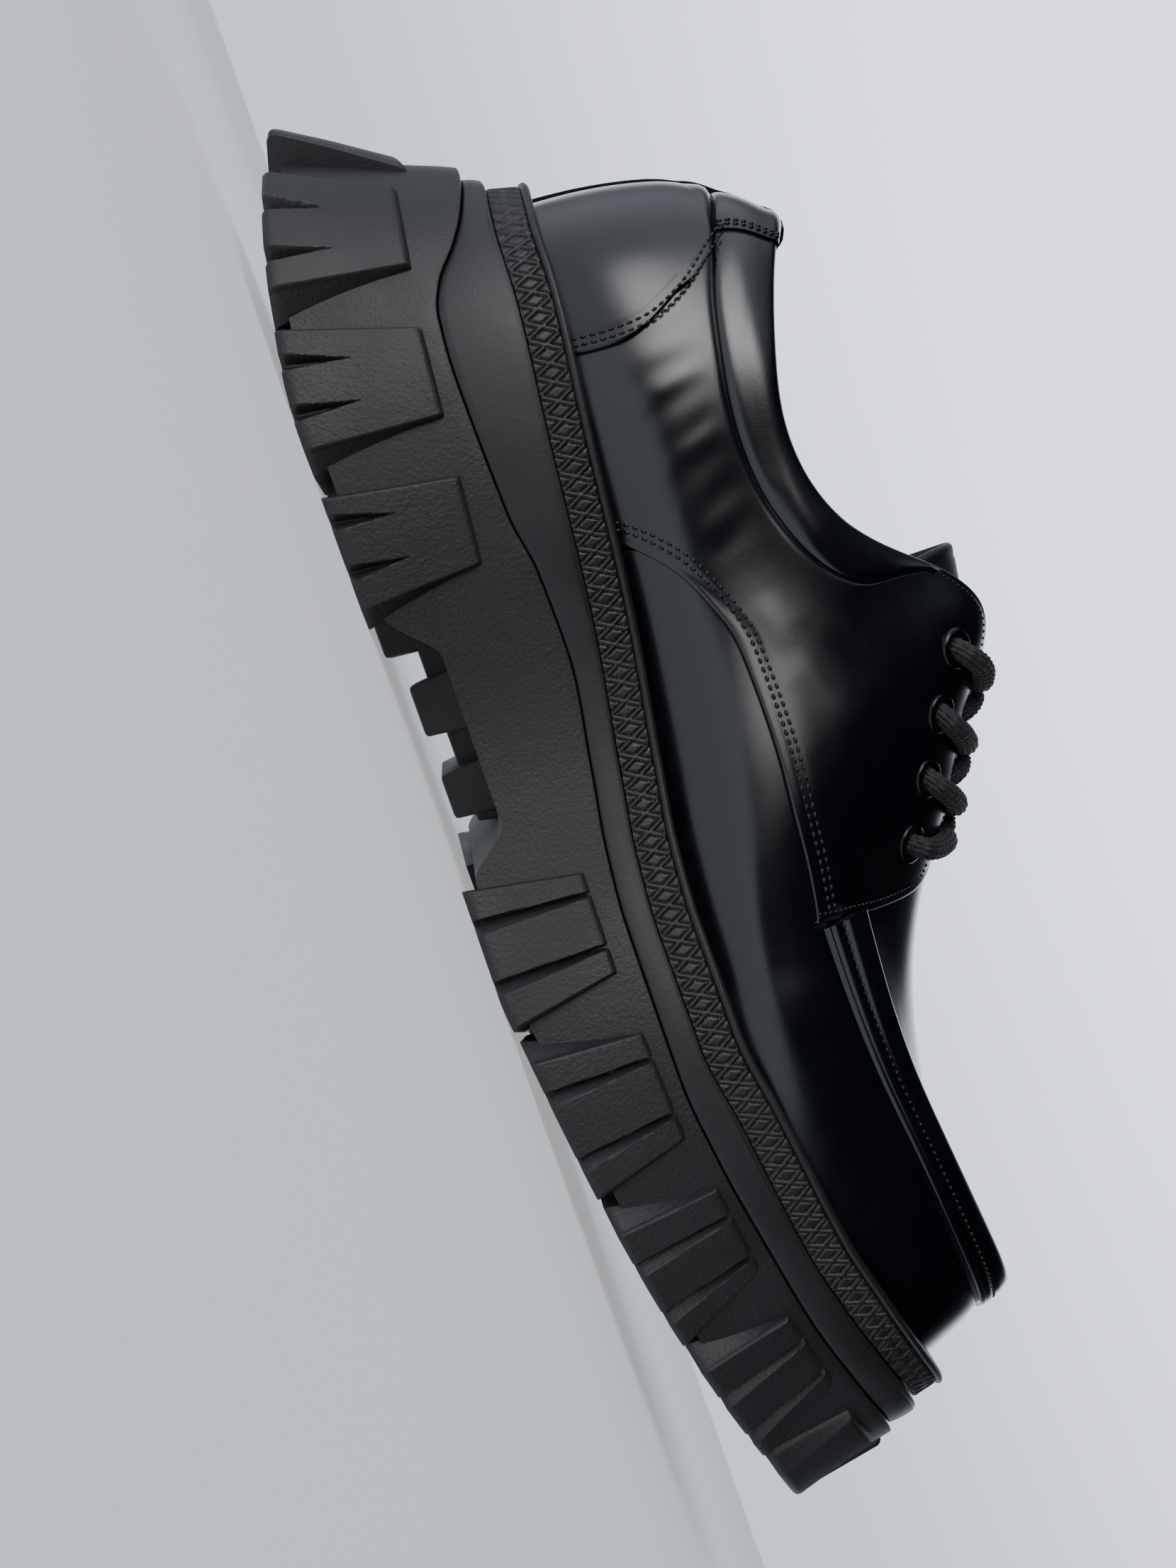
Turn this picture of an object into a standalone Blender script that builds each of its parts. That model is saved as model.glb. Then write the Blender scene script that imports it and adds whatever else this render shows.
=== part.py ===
"""A lace-up apron-toe shoe for the left foot, on a thick lugged rubber sole.

Metres, +Z up. +X runs from heel to toe, -Y is the inner (medial) side and +Y the outer side.
The origin lies on the floor, under the middle of the whole shoe's length and width.
Tables and sizes are in millimetres, measured along X from the rear end of the sole.
"""

import math

import bmesh
import bpy
import numpy as np
from mathutils import Vector

MM = 0.001

# Driving dimensions, in millimetres.
GAP = 0.54
BORE_GAP = 0.9
WALL = 2.0
COLLAR_PAD = 3.2
# How far the upper's feather line lies below the top of the welt.
FEATHER_DROP = 0.6
TREAD_DEPTH = 2.8
ARCH_HEIGHT = 10.6
ARCH_REAR = 93.0
ARCH_FRONT = 143.5
ARCH_REAR_RAMP = 11.0
ARCH_FRONT_RAMP = 8.0
LUG_PROUD = 2.6
LUG_HEAD_PROUD = 2.2
LUG_REACH = 25.0
END_LUG_REACH = 15.0
LUG_BEVEL = 0.9
LUG_ROOT = 2.5
ARCH_BLOCK_LIFT = 2.6
BLOCK_DRAFT = 1.0
WELT_HEIGHT = 7.9
WELT_RIM = 1.4
# The welt is lower at the toe: by how much, and from where to where.
WELT_TOE_DROP = 1.4
WELT_TOE_START = 240.0
WELT_TOE_END = 280.0
INSOLE_THICK = 3.0
COUNTER_THICK = 1.3
TONGUE_THICK = 2.6
EYELET_OUTER = 4.1
EYELET_HOLE = 3.0
EYELET_LIFT = 0.9
LACE_DIAMETER = 4.0
LACE_LIFT = 2.9
# How far the padded collar bulges at the heel, its share of that at the sides, and the section
# at which the heel's bulge has faded into the sides'.
COLLAR_ROLL = 1.9
COLLAR_SIDE_SHARE = 0.45
COLLAR_HEEL_FADE = 60.0
# How far toward the toe each lace runs from its eyelets to the crown, from the front pair on, and
# where a crossing's strands end as a share of that.
LACE_FORWARD = (8.6, 12.0, 13.4, 13.2)
LACE_END = 1.06
LACE_END_PLACE = 4.62
LACE_END_LIFT = 0.4
CENTRE_SHIFT = 143.04
WIDTH_SHIFT = 0.8

SOLE_STATIONS = 44
UPPER_STATIONS = 35

# The plan outline of the welt, from the heel along the inner side and back along the outer: x, y.
WELT_OUTLINE = (
    (20.0, 0.0),
    (24.2, -17.0),
    (38.0, -31.0),
    (60.0, -37.0),
    (85.0, -36.7),
    (118.0, -34.6),
    (150.0, -39.8),
    (180.0, -47.6),
    (210.0, -50.4),
    (237.0, -48.6),
    (259.5, -41.0),
    (274.5, -25.0),
    (280.3, -7.0),
    (277.0, 12.0),
    (262.5, 33.0),
    (239.0, 46.5),
    (205.0, 52.0),
    (170.0, 49.0),
    (135.0, 41.8),
    (100.0, 38.0),
    (65.0, 37.0),
    (38.0, 31.0),
    (24.2, 17.0),
)

# Side view heights: x, z.
TREAD = (
    (0.0, 13.0),
    (16.0, 8.0),
    (29.0, 4.6),
    (43.0, 1.8),
    (52.0, 0.5),
    (60.0, 0.0),
    (162.0, 0.0),
    (176.0, 1.5),
    (200.0, 4.4),
    (224.0, 8.4),
    (246.0, 13.4),
    (270.0, 19.4),
    (295.0, 23.5),
)
PARTING = (
    (12.0, 45.0),
    (20.0, 43.8),
    (29.0, 40.6),
    (35.0, 37.0),
    (41.0, 32.3),
    (47.0, 30.0),
    (58.0, 29.2),
    (84.0, 30.0),
    (95.0, 31.8),
    (110.0, 32.3),
    (132.0, 29.3),
    (146.0, 26.9),
    (160.0, 25.6),
    (188.0, 25.3),
    (204.0, 26.9),
    (222.0, 30.0),
    (240.0, 33.6),
    (256.0, 38.2),
    (272.0, 42.6),
    (290.0, 45.0),
)
MIDSOLE_TOP = (
    (14.0, 49.5),
    (20.0, 48.6),
    (28.0, 46.6),
    (36.0, 45.2),
    (48.0, 44.4),
    (72.0, 41.8),
    (106.0, 38.8),
    (134.0, 34.4),
    (150.0, 31.8),
    (164.0, 30.8),
    (184.0, 30.8),
    (200.0, 33.1),
    (228.0, 37.2),
    (242.0, 40.8),
    (256.0, 45.0),
    (270.0, 49.0),
    (290.0, 52.0),
)

# How far each wall stands outside the welt outline: at the sides, the heel and the toe. The slope
# is the outsole wall's spread for each millimetre down from its top.
FLARE = {
    "outsole_top": (0.9, 5.0, 3.6),
    "outsole_slope": (0.09, 0.34, 0.13),
    "midsole_low": (0.3, 2.4, 1.7),
    "midsole_high": (-0.2, 0.8, 0.7),
    "welt_low": (-0.9, -0.8, -1.8),
    "welt_high": (-1.6, -2.6, -3.4),
    "upper": (-5.6, -7.6, -8.5),
}

# Side lugs from heel to toe: rear and front ends at the tread and at the top, and the top's heights.
LUGS = (
    # low_rear, low_front, top_rear, top_front, z_rear, z_front
    ("heel_a", 11.4, 34.8, 20.4, 36.9, 30.8, 28.2),
    ("heel_b", 41.3, 63.4, 48.0, 64.2, 26.3, 24.9),
    ("heel_c", 71.3, 92.3, 74.8, 90.6, 24.0, 22.7),
    ("ball_1", 143.6, 169.0, 148.1, 166.3, 21.4, 21.0),
    ("ball_2", 174.8, 201.3, 177.3, 197.5, 21.7, 22.6),
    ("ball_3", 208.0, 232.2, 207.6, 224.7, 25.0, 27.3),
    ("ball_4", 237.7, 260.8, 235.3, 252.1, 29.6, 33.6),
    ("ball_5", 263.2, 277.6, 260.8, 272.3, 35.0, 38.2),
)

# The lugs at the two ends: middle and half width across the shoe, height of the top, and how far
# they stand outside the wall at the tread and at the top.
END_LUGS = {
    "heel": (0.0, 19.0, 34.4, 6.2, 1.2),
    "toe": (-7.0, 17.0, 41.0, 1.7, 1.2),
}

# Blocks along the middle of the tread: rear, front, half width.
CENTRE_LUGS = (
    (36.5, 47.0, 12.0),
    (61.0, 76.0, 12.0),
    (89.0, 100.5, 12.0),
    (107.0, 117.2, 21.0),
    (125.0, 133.8, 21.0),
    (163.5, 184.5, 14.0),
    (194.5, 210.0, 15.0),
    (225.0, 239.5, 14.0),
)

# The rib along the middle of the arch: rear, front, half width, height above the floor.
ARCH_WEB = (96.5, 136.5, 13.0, 6.4)

# The upper's centre line in plan: x, y.
CENTRE_LINE = (
    (27.0, 0.0),
    (60.0, 0.0),
    (110.0, 0.4),
    (160.0, 0.8),
    (200.0, 0.2),
    (235.0, -2.4),
    (262.0, -6.4),
    (272.0, -7.0),
)

# Lines that run along the upper. Each row belongs to the section that starts at "at" on the sole:
# at, shift along X, half width as a share of the section's half width there, height.
BELLY = (
    (27.4, 0.6, 1.02, 64.0),
    (50.0, 0.3, 1.05, 63.0),
    (70.0, 0.0, 1.08, 61.5),
    (95.0, 0.0, 1.13, 59.5),
    (118.0, 0.0, 1.19, 57.0),
    (138.0, 0.0, 1.22, 53.0),
    (155.0, 0.0, 1.17, 49.5),
    (175.0, 0.0, 1.08, 47.5),
    (200.0, 0.0, 1.01, 49.0),
    (235.0, -0.6, 0.97, 55.0),
    (258.0, -1.6, 0.95, 59.6),
    (272.0, -2.0, 0.95, 61.5),
)
SHOULDER = (
    (27.4, 2.6, 0.96, 77.0),
    (50.0, 1.4, 0.98, 76.2),
    (70.0, 0.4, 1.05, 74.8),
    (95.0, 0.0, 1.10, 73.4),
    (118.0, 0.4, 1.18, 71.8),
    (138.0, 1.0, 1.21, 68.6),
    (155.0, 1.0, 1.13, 64.6),
    (168.0, 0.6, 1.01, 62.6),
    (180.0, -0.2, 0.925, 62.0),
    (196.0, -2.4, 0.85, 63.2),
    (215.0, -4.2, 0.78, 65.3),
    (235.0, -5.8, 0.73, 67.9),
    (252.0, -5.6, 0.69, 70.0),
    (263.0, -5.8, 0.68, 71.0),
    (272.0, -9.6, 0.68, 71.6),
)
FLANK = (
    (27.4, 5.2, 0.90, 84.5),
    (50.0, 2.8, 0.92, 83.2),
    (70.0, 1.2, 1.02, 80.2),
    (92.0, -1.0, 1.075, 78.6),
    (108.0, -2.2, 1.12, 80.4),
    (120.0, -3.4, 1.08, 84.0),
    (130.0, -4.2, 1.01, 87.4),
    (140.0, -5.0, 0.95, 88.8),
    (152.0, -5.6, 0.885, 84.8),
    (165.0, -6.4, 0.80, 79.8),
    (177.0, -6.8, 0.715, 75.8),
    (188.0, -7.0, 0.645, 73.4),
    (202.0, -6.4, 0.59, 71.9),
    (218.0, -5.8, 0.54, 71.0),
    (235.0, -5.6, 0.49, 70.9),
    (252.0, -6.0, 0.45, 71.3),
    (272.0, -11.2, 0.44, 71.9),
)
EDGE = (
    (27.4, 15.6, 0.72, 102.6),
    (36.0, 11.2, 0.72, 99.4),
    (50.0, 6.2, 0.77, 94.2),
    (70.0, 2.0, 0.95, 87.6),
    (90.0, -3.2, 1.01, 85.2),
    (106.0, -5.8, 0.99, 88.6),
    (118.0, -7.6, 0.86, 96.6),
    (129.0, -9.6, 0.63, 107.8),
    (139.5, -11.0, 0.47, 114.5),
    (149.0, -12.4, 0.42, 112.6),
    (163.0, -13.2, 0.37, 104.0),
    (176.0, -13.2, 0.34, 97.0),
    (186.0, -12.4, 0.325, 89.6),
    (200.0, -9.4, 0.31, 80.6),
    (216.0, -7.6, 0.29, 75.6),
    (235.0, -6.4, 0.26, 72.8),
    (252.0, -6.6, 0.24, 72.2),
    (272.0, -13.0, 0.22, 72.1),
)
CROWN = (
    (118.0, -7.6, 0.0, 121.0),
    (129.0, -9.6, 0.0, 120.4),
    (139.5, -11.0, 0.0, 118.4),
    (149.0, -12.4, 0.0, 115.6),
    (163.0, -13.2, 0.0, 107.2),
    (176.0, -13.2, 0.0, 99.8),
    (186.0, -12.4, 0.0, 92.0),
    (200.0, -9.4, 0.0, 82.0),
    (216.0, -7.6, 0.0, 76.4),
    (235.0, -6.4, 0.0, 73.2),
    (252.0, -6.8, 0.0, 72.3),
    (272.0, -14.6, 0.0, 72.2),
)

# How much of the sole's extra outer width each line keeps, from the feather line to the crown.
OUTER_SHARE = (1.0, 0.9, 0.6, 0.3, 0.0, 0.0)
COLUMNS_BETWEEN = (2, 2, 2, 3, 2)
# How much of the collar's padding each row of points has, from the topline down.
PAD_WEIGHTS = (0.55, 1.0, 0.75, 0.3)

# Sections where the collar's padding ends, where the throat ends, and where the tongue lies.
PAD_END_AT = 124.0
PAD_FADE = 16.0
THROAT_AT = 190.5
TONGUE_REAR = 124.5
TONGUE_FRONT = 200.0
TONGUE_SIDE = 3.3
TONGUE_DROP = 3.3

# The apron's raised seam: where it starts on each side, and its cross-section as (out, up) from
# the shoulder line.
RIDGE_START = 179.0
RIDGE_TIP_GAP = 0.12
RIDGE_STATIONS = 14
RIDGE_SECTION = ((0.5, -2.6), (1.3, -3.0), (1.7, -1.6), (2.6, 3.1), (1.8, 3.7), (0.6, 1.2))

# Side view outline of the heel counter: x, z.
COUNTER_OUTLINE = (
    (20.0, 40.0),
    (59.6, 40.0),
    (60.6, 56.0),
    (59.6, 65.0),
    (56.8, 72.0),
    (52.6, 78.0),
    (48.0, 82.4),
    (36.0, 88.6),
    (20.0, 92.0),
)
COUNTER_BLANK_FRONT = 68.0
CUTTER_REACH = 60.0
COUNTER_FOOT = 0.18
COUNTER_HEAD = 3.2

# Eyelet pairs from the front: the section they stand on and their place between flank and edge.
EYELETS = (
    (177.5, 3.36),
    (167.5, 3.48),
    (156.0, 3.50),
    (144.5, 3.55),
)


# ---------------------------------------------------------------- curves


def spline(xs, ys, x):
    """Natural cubic spline through the given points."""
    xs = np.asarray(xs, float)
    ys = np.asarray(ys, float)
    count = len(xs)
    step = np.diff(xs)
    rise = np.diff(ys) / step
    matrix = np.eye(count)
    right = np.zeros(count)
    for i in range(1, count - 1):
        matrix[i, i - 1 : i + 2] = step[i - 1], 2 * (step[i - 1] + step[i]), step[i]
        right[i] = 6 * (rise[i] - rise[i - 1])
    bend = np.linalg.solve(matrix, right)
    x = np.clip(np.asarray(x, float), xs[0], xs[-1])
    at = np.clip(np.searchsorted(xs, x) - 1, 0, count - 2)
    left = x - xs[at]
    right_part = xs[at + 1] - x
    width = step[at]
    return (
        (bend[at] * right_part**3 + bend[at + 1] * left**3) / (6 * width)
        + (ys[at] / width - bend[at] * width / 6) * right_part
        + (ys[at + 1] / width - bend[at + 1] * width / 6) * left
    )


def steady(table, x):
    """Curve through a table of (x, z) that never overshoots its points."""
    xs, ys = np.array(table).T
    step = np.diff(xs)
    rise = np.diff(ys) / step
    slope = np.zeros(len(xs))
    for i in range(1, len(xs) - 1):
        if rise[i - 1] * rise[i] > 0:
            slope[i] = 2 * rise[i - 1] * rise[i] / (rise[i - 1] + rise[i])
    slope[0] = rise[0]
    slope[-1] = rise[-1]
    x = np.clip(np.asarray(x, float), xs[0], xs[-1])
    at = np.clip(np.searchsorted(xs, x) - 1, 0, len(xs) - 2)
    t = (x - xs[at]) / step[at]
    return (
        ys[at] * (1 + 2 * t) * (1 - t) ** 2
        + slope[at] * step[at] * t * (1 - t) ** 2
        + ys[at + 1] * t * t * (3 - 2 * t)
        + slope[at + 1] * step[at] * t * t * (t - 1)
    )


def closed_outline(points, count=960):
    """Even points along a smooth closed curve through the given ones, with outward normals."""
    ring = np.array(points)
    ahead = 4
    wrapped = np.concatenate([ring[-ahead:], ring, ring[: ahead + 1]])
    length = np.concatenate(([0.0], np.cumsum(np.linalg.norm(np.diff(wrapped, axis=0), axis=1))))
    first, last = length[ahead], length[ahead + len(ring)]
    at = np.linspace(first, last, count, endpoint=False)
    curve = np.stack([spline(length, wrapped[:, k], at) for k in (0, 1)], axis=1)
    along = np.roll(curve, -1, axis=0) - np.roll(curve, 1, axis=0)
    along /= np.linalg.norm(along, axis=1)[:, None]
    # From the heel the outline runs along -Y first, so outward is to the right of it.
    normal = np.stack([along[:, 1], -along[:, 0]], axis=1)
    return curve, normal


WELT_CURVE, WELT_NORMAL = closed_outline(WELT_OUTLINE)


def by_side(name, normal):
    """A flare at each outline point, blended between its values at side, heel and toe."""
    side, heel, toe = FLARE[name]
    back = np.clip(-normal[:, 0], 0, 1) ** 2
    front = np.clip(normal[:, 0], 0, 1) ** 2
    return side + (heel - side) * back + (toe - side) * front


def offset_outline(offset):
    return WELT_CURVE + WELT_NORMAL * np.asarray(offset)[:, None]


def wall_offset(height):
    """Offset of the outsole's side wall where its height is height(x), below the parting line."""
    offset = by_side("outsole_top", WELT_NORMAL)
    for _ in range(4):
        x = offset_outline(offset)[:, 0]
        drop = steady(PARTING, x) - height(x)
        offset = by_side("outsole_top", WELT_NORMAL) + by_side("outsole_slope", WELT_NORMAL) * drop
    return offset


def spread(count, crowding=0.62):
    """Fractions from 0 to 1 that crowd together at both ends."""
    t = np.linspace(0, 1, count)
    return t - crowding * np.sin(2 * math.pi * t) / (2 * math.pi)


def two_sides(outline, stations):
    """Inner and outer y of an outline at each station, from its rear end to its front end."""
    rear = int(np.argmin(outline[:, 0]))
    turned = np.roll(outline, -rear, axis=0)
    front = int(np.argmax(turned[:, 0]))
    inner = turned[: front + 1]
    outer = np.concatenate([turned[front:], turned[:1]])[::-1]
    x = inner[0, 0] + (inner[-1, 0] - inner[0, 0]) * stations
    return x, np.interp(x, inner[:, 0], inner[:, 1]), np.interp(x, outer[:, 0], outer[:, 1])


def core_floor(x):
    """Height of the recessed tread between the lugs, with the arch."""
    rear_ramp = np.clip((x - ARCH_REAR) / ARCH_REAR_RAMP, 0, 1)
    arch = rear_ramp * np.clip((ARCH_FRONT - x) / ARCH_FRONT_RAMP, 0, 1)
    arch = arch * arch * (3 - 2 * arch)
    return steady(TREAD, x) + TREAD_DEPTH + (ARCH_HEIGHT - TREAD_DEPTH) * arch


def welt_top(x):
    toe = np.clip((x - WELT_TOE_START) / (WELT_TOE_END - WELT_TOE_START), 0, 1)
    return steady(MIDSOLE_TOP, x) + WELT_HEIGHT - WELT_TOE_DROP * toe


# ---------------------------------------------------------------- the upper's surface

UPPER_CURVE = offset_outline(by_side("upper", WELT_NORMAL))
UPPER_REAR = float(UPPER_CURVE[:, 0].min())
UPPER_FRONT = float(UPPER_CURVE[:, 0].max())


def upper_keys(at):
    """The six key lines' points of one section, for the inner and the outer side."""
    share = (at - UPPER_REAR) / (UPPER_FRONT - UPPER_REAR)
    x, inner, outer = two_sides(UPPER_CURVE, np.array([share]))
    centre = float(spline(*np.array(CENTRE_LINE).T, x)[0])
    halves = (centre - float(inner[0]), float(outer[0]) - centre)
    if share <= 0 or share >= 1:
        halves = (0.0, 0.0)
    keys = ([], [])
    lines = (None, BELLY, SHOULDER, FLANK, EDGE, CROWN)
    for line, keep in zip(lines, OUTER_SHARE):
        if line is None:
            shift, ratio, height = 0.0, 1.0, float(welt_top(x)[0]) - FEATHER_DROP
        else:
            table = np.array(line)
            shift, ratio, height = (float(spline(table[:, 0], table[:, k], at)) for k in (1, 2, 3))
        middle = float(spline(*np.array(CENTRE_LINE).T, x + shift)[0])
        half = halves[0] * ratio
        wide = half + (halves[1] - halves[0]) * keep
        keys[0].append((at + shift, middle - half, height))
        keys[1].append((at + shift, middle + wide, height))
    return np.array(keys[0]), np.array(keys[1])


def section(at, outer, columns=COLUMNS_BETWEEN, upto=5):
    """Points up one side of a section, from the feather line through the key lines."""
    keys = upper_keys(at)[1 if outer else 0]
    length = np.concatenate(([0.0], np.cumsum(np.linalg.norm(np.diff(keys, axis=0), axis=1))))
    where = [length[0]]
    for k in range(upto):
        part = np.linspace(length[k], length[k + 1], columns[k] + 1)[1:]
        where.extend(part)
    mirrored = keys[-2::-1].copy()
    mirrored[:, 1] = 2 * keys[-1, 1] - mirrored[:, 1]
    both = np.concatenate([keys, mirrored])
    run = np.concatenate(([0.0], np.cumsum(np.linalg.norm(np.diff(both, axis=0), axis=1))))
    points = np.stack([spline(run, both[:, k], where) for k in range(3)], axis=1)
    return points + collar_roll(at, outer, (np.array(where) - length[3]) / (length[4] - length[3]))


def collar_roll(at, outer, share):
    """How far the padded collar bulges outward between its seam, share 0, and the topline, share 1."""
    back = np.clip((COLLAR_HEEL_FADE - at) / (COLLAR_HEEL_FADE - UPPER_REAR), 0, 1) ** 1.5
    fade = np.clip((PAD_END_AT - at) / PAD_FADE, 0, 1)
    height = COLLAR_ROLL * fade * (COLLAR_SIDE_SHARE + (1 - COLLAR_SIDE_SHARE) * back)
    roll = height * np.sin(math.pi * np.clip(share, 0, 1))
    side = 1.0 if outer else -1.0
    return roll[:, None] * np.array([-back, side * (1.0 - back), 0.0])


def skirt(point, x_seat):
    """The foot of the wall, straight below the feather line on the midsole."""
    return (point[0], point[1], float(steady(MIDSOLE_TOP, x_seat)) + GAP)


def upper_point(at, place, outer):
    """A point of the surface: place runs 0 to 5 over the key lines, feather line to crown."""
    whole = min(int(place), 4)
    fine = 20
    points = section(at, outer, (fine,) * 5)
    row = whole * fine + (place - whole) * fine
    low = min(int(row), len(points) - 2)
    return points[low] + (points[low + 1] - points[low]) * (row - low)


def upper_normal(at, place, outer):
    step_at, step_place = 0.6, 0.06
    along = upper_point(at + step_at, place, outer) - upper_point(at - step_at, place, outer)
    high = upper_point(at, min(place + step_place, 5.0), outer)
    low = upper_point(at, max(place - step_place, 0.0), outer)
    normal = np.cross(high - low, along) if outer else np.cross(along, high - low)
    return normal / np.linalg.norm(normal)


# ---------------------------------------------------------------- Blender helpers


def to_world(point):
    """Millimetres from the rear end of the sole, to metres in the shoe's own frame."""
    return Vector(((point[0] - CENTRE_SHIFT) * MM, (point[1] - WIDTH_SHIFT) * MM, point[2] * MM))


def material(name, colour, roughness, metallic=0.0):
    found = bpy.data.materials.new(name)
    found.use_nodes = True
    shader = found.node_tree.nodes["Principled BSDF"]
    shader.inputs["Base Color"].default_value = (*colour, 1.0)
    shader.inputs["Roughness"].default_value = roughness
    shader.inputs["Metallic"].default_value = metallic
    found.diffuse_color = (*colour, 1.0)
    return found


def new_object(name, build, finish, collection, upward=False, rearward=False):
    """An object whose mesh is built by build(bm). An open sheet says which way it faces."""
    bm = bmesh.new()
    build(bm)
    bmesh.ops.remove_doubles(bm, verts=bm.verts, dist=1e-6)
    bmesh.ops.triangulate(bm, faces=bm.faces)
    bmesh.ops.recalc_face_normals(bm, faces=bm.faces)
    bm.normal_update()
    faced = sum((face.normal * face.calc_area() for face in bm.faces), Vector())
    if (upward and faced.z < 0) or (rearward and faced.x > 0):
        bmesh.ops.reverse_faces(bm, faces=bm.faces)
    mesh = bpy.data.meshes.new(name)
    bm.to_mesh(mesh)
    bm.free()
    mesh.materials.append(finish)
    mesh.shade_smooth()
    mesh.set_sharp_from_angle(angle=math.radians(40))
    found = bpy.data.objects.new(name, mesh)
    collection.objects.link(found)
    return found


def add_faces(bm, rows, wrap=False):
    """Quads between rows of vertices; wrap joins each row's last vertex to its first."""
    for near, far in zip(rows, rows[1:]):
        count = len(near)
        for k in range(count if wrap else count - 1):
            corners = [near[k], near[(k + 1) % count], far[(k + 1) % count], far[k]]
            different = []
            for corner in corners:
                if corner not in different:
                    different.append(corner)
            if len(different) > 2:
                bm.faces.new(different)


def ring_points(outline, height, count):
    """Vertices' places round an outline: rear end, inner side, front end, outer side."""
    x, inner, outer = two_sides(outline, spread(count))
    z = height(x)
    inner_side = [(x[k], inner[k], z[k]) for k in range(count)]
    outer_side = [(x[k], outer[k], z[k]) for k in range(1, count - 1)]
    return inner_side + outer_side[::-1]


def add_cap(bm, ring, count):
    """Close a ring across its width, station by station."""
    outer = ring[count:][::-1]
    pairs = [(ring[0], ring[0])]
    pairs += [(ring[k], outer[k - 1]) for k in range(1, count - 1)]
    pairs += [(ring[count - 1], ring[count - 1])]
    add_faces(bm, pairs)


def add_slab(bm, levels, count=SOLE_STATIONS):
    """A solid from rings of (outline, height function), capped below and above."""
    rings = []
    for outline, height in levels:
        rings.append([bm.verts.new(to_world(p)) for p in ring_points(outline, height, count)])
    add_faces(bm, rings, wrap=True)
    add_cap(bm, rings[0], count)
    add_cap(bm, rings[-1], count)


def add_tube_wall(bm, loops):
    """A closed ring solid from loops of equal length that go round its cross-section."""
    rings = [[bm.verts.new(to_world(p)) for p in loop] for loop in loops]
    add_faces(bm, rings + rings[:1], wrap=True)


# ---------------------------------------------------------------- sole


def between(low, high, share):
    return lambda x: low(x) + (high(x) - low(x)) * share


def outsole_top(x):
    return steady(PARTING, x) - GAP / 2


def build_outsole_core(bm):
    levels = []
    for share in (0.0, 0.5, 1.0):
        height = between(core_floor, outsole_top, share)
        levels.append((offset_outline(wall_offset(height)), height))
    add_slab(bm, levels)


def build_midsole(bm):
    low = by_side("midsole_low", WELT_NORMAL)
    high = by_side("midsole_high", WELT_NORMAL)

    def bottom(x):
        return steady(PARTING, x) + GAP / 2

    def top(x):
        return steady(MIDSOLE_TOP, x) - GAP / 2

    add_slab(
        bm,
        [
            (offset_outline(low), bottom),
            (offset_outline((low + high) / 2), between(bottom, top, 0.6)),
            (offset_outline(high), top),
        ],
    )


def build_welt(bm):
    count = SOLE_STATIONS
    low = offset_outline(by_side("welt_low", WELT_NORMAL))
    high = offset_outline(by_side("welt_high", WELT_NORMAL))
    rim = offset_outline(by_side("welt_high", WELT_NORMAL) - WELT_RIM)
    bore = offset_outline(by_side("upper", WELT_NORMAL) + BORE_GAP)

    def seat(x):
        return steady(MIDSOLE_TOP, x) + GAP / 2

    def shoulder(x):
        return welt_top(x) - WELT_RIM

    add_tube_wall(
        bm,
        [
            ring_points(low, seat, count),
            ring_points(high, shoulder, count),
            ring_points(rim, welt_top, count),
            ring_points(bore, welt_top, count),
            ring_points(bore, seat, count),
        ],
    )


def build_insole(bm):
    edge = offset_outline(by_side("upper", WELT_NORMAL) - WALL - 1.0)

    def bottom(x):
        return steady(MIDSOLE_TOP, x) + GAP

    def top(x):
        return steady(MIDSOLE_TOP, x) + GAP + INSOLE_THICK

    add_slab(bm, [(edge, bottom), (edge, top)])


def wall_place(x, outer, proud, height):
    """A point of the lug's outer face at a given x, with the way that the wall faces there."""
    outline = offset_outline(wall_offset(height) + proud)
    rear = int(np.argmin(outline[:, 0]))
    turned = np.roll(outline, -rear, axis=0)
    normal = np.roll(WELT_NORMAL, -rear, axis=0)
    front = int(np.argmax(turned[:, 0]))
    part = slice(front, None) if outer else slice(0, front + 1)
    side, facing = turned[part], normal[part]
    if outer:
        side, facing = side[::-1], facing[::-1]
    y = np.interp(x, side[:, 0], side[:, 1])
    nx = np.interp(x, side[:, 0], facing[:, 0])
    ny = np.interp(x, side[:, 0], facing[:, 1])
    return np.array([x, y]), np.array([nx, ny])


def lug_profile(foot, head, facing, z_top, reach):
    """A lug's cross-section: bevelled foot, tread, root inside the core, sloped head."""
    tread = float(steady(TREAD, foot[0]))
    into = foot - facing * reach
    return [
        (foot[0], foot[1], tread + LUG_BEVEL),
        (*(foot - facing * LUG_BEVEL), tread),
        (*into, float(steady(TREAD, into[0]))),
        (*into, float(core_floor(into[0])) + LUG_ROOT),
        (*(head - facing * (2 * LUG_PROUD)), z_top - LUG_BEVEL),
        (*(head - facing * (LUG_PROUD + LUG_BEVEL)), z_top + LUG_BEVEL),
        (head[0], head[1], z_top),
    ]


def add_lug(bm, profiles):
    rows = [[bm.verts.new(to_world(p)) for p in profile] for profile in profiles]
    add_faces(bm, rows, wrap=True)
    bm.faces.new(rows[0])
    bm.faces.new(rows[-1][::-1])


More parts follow.
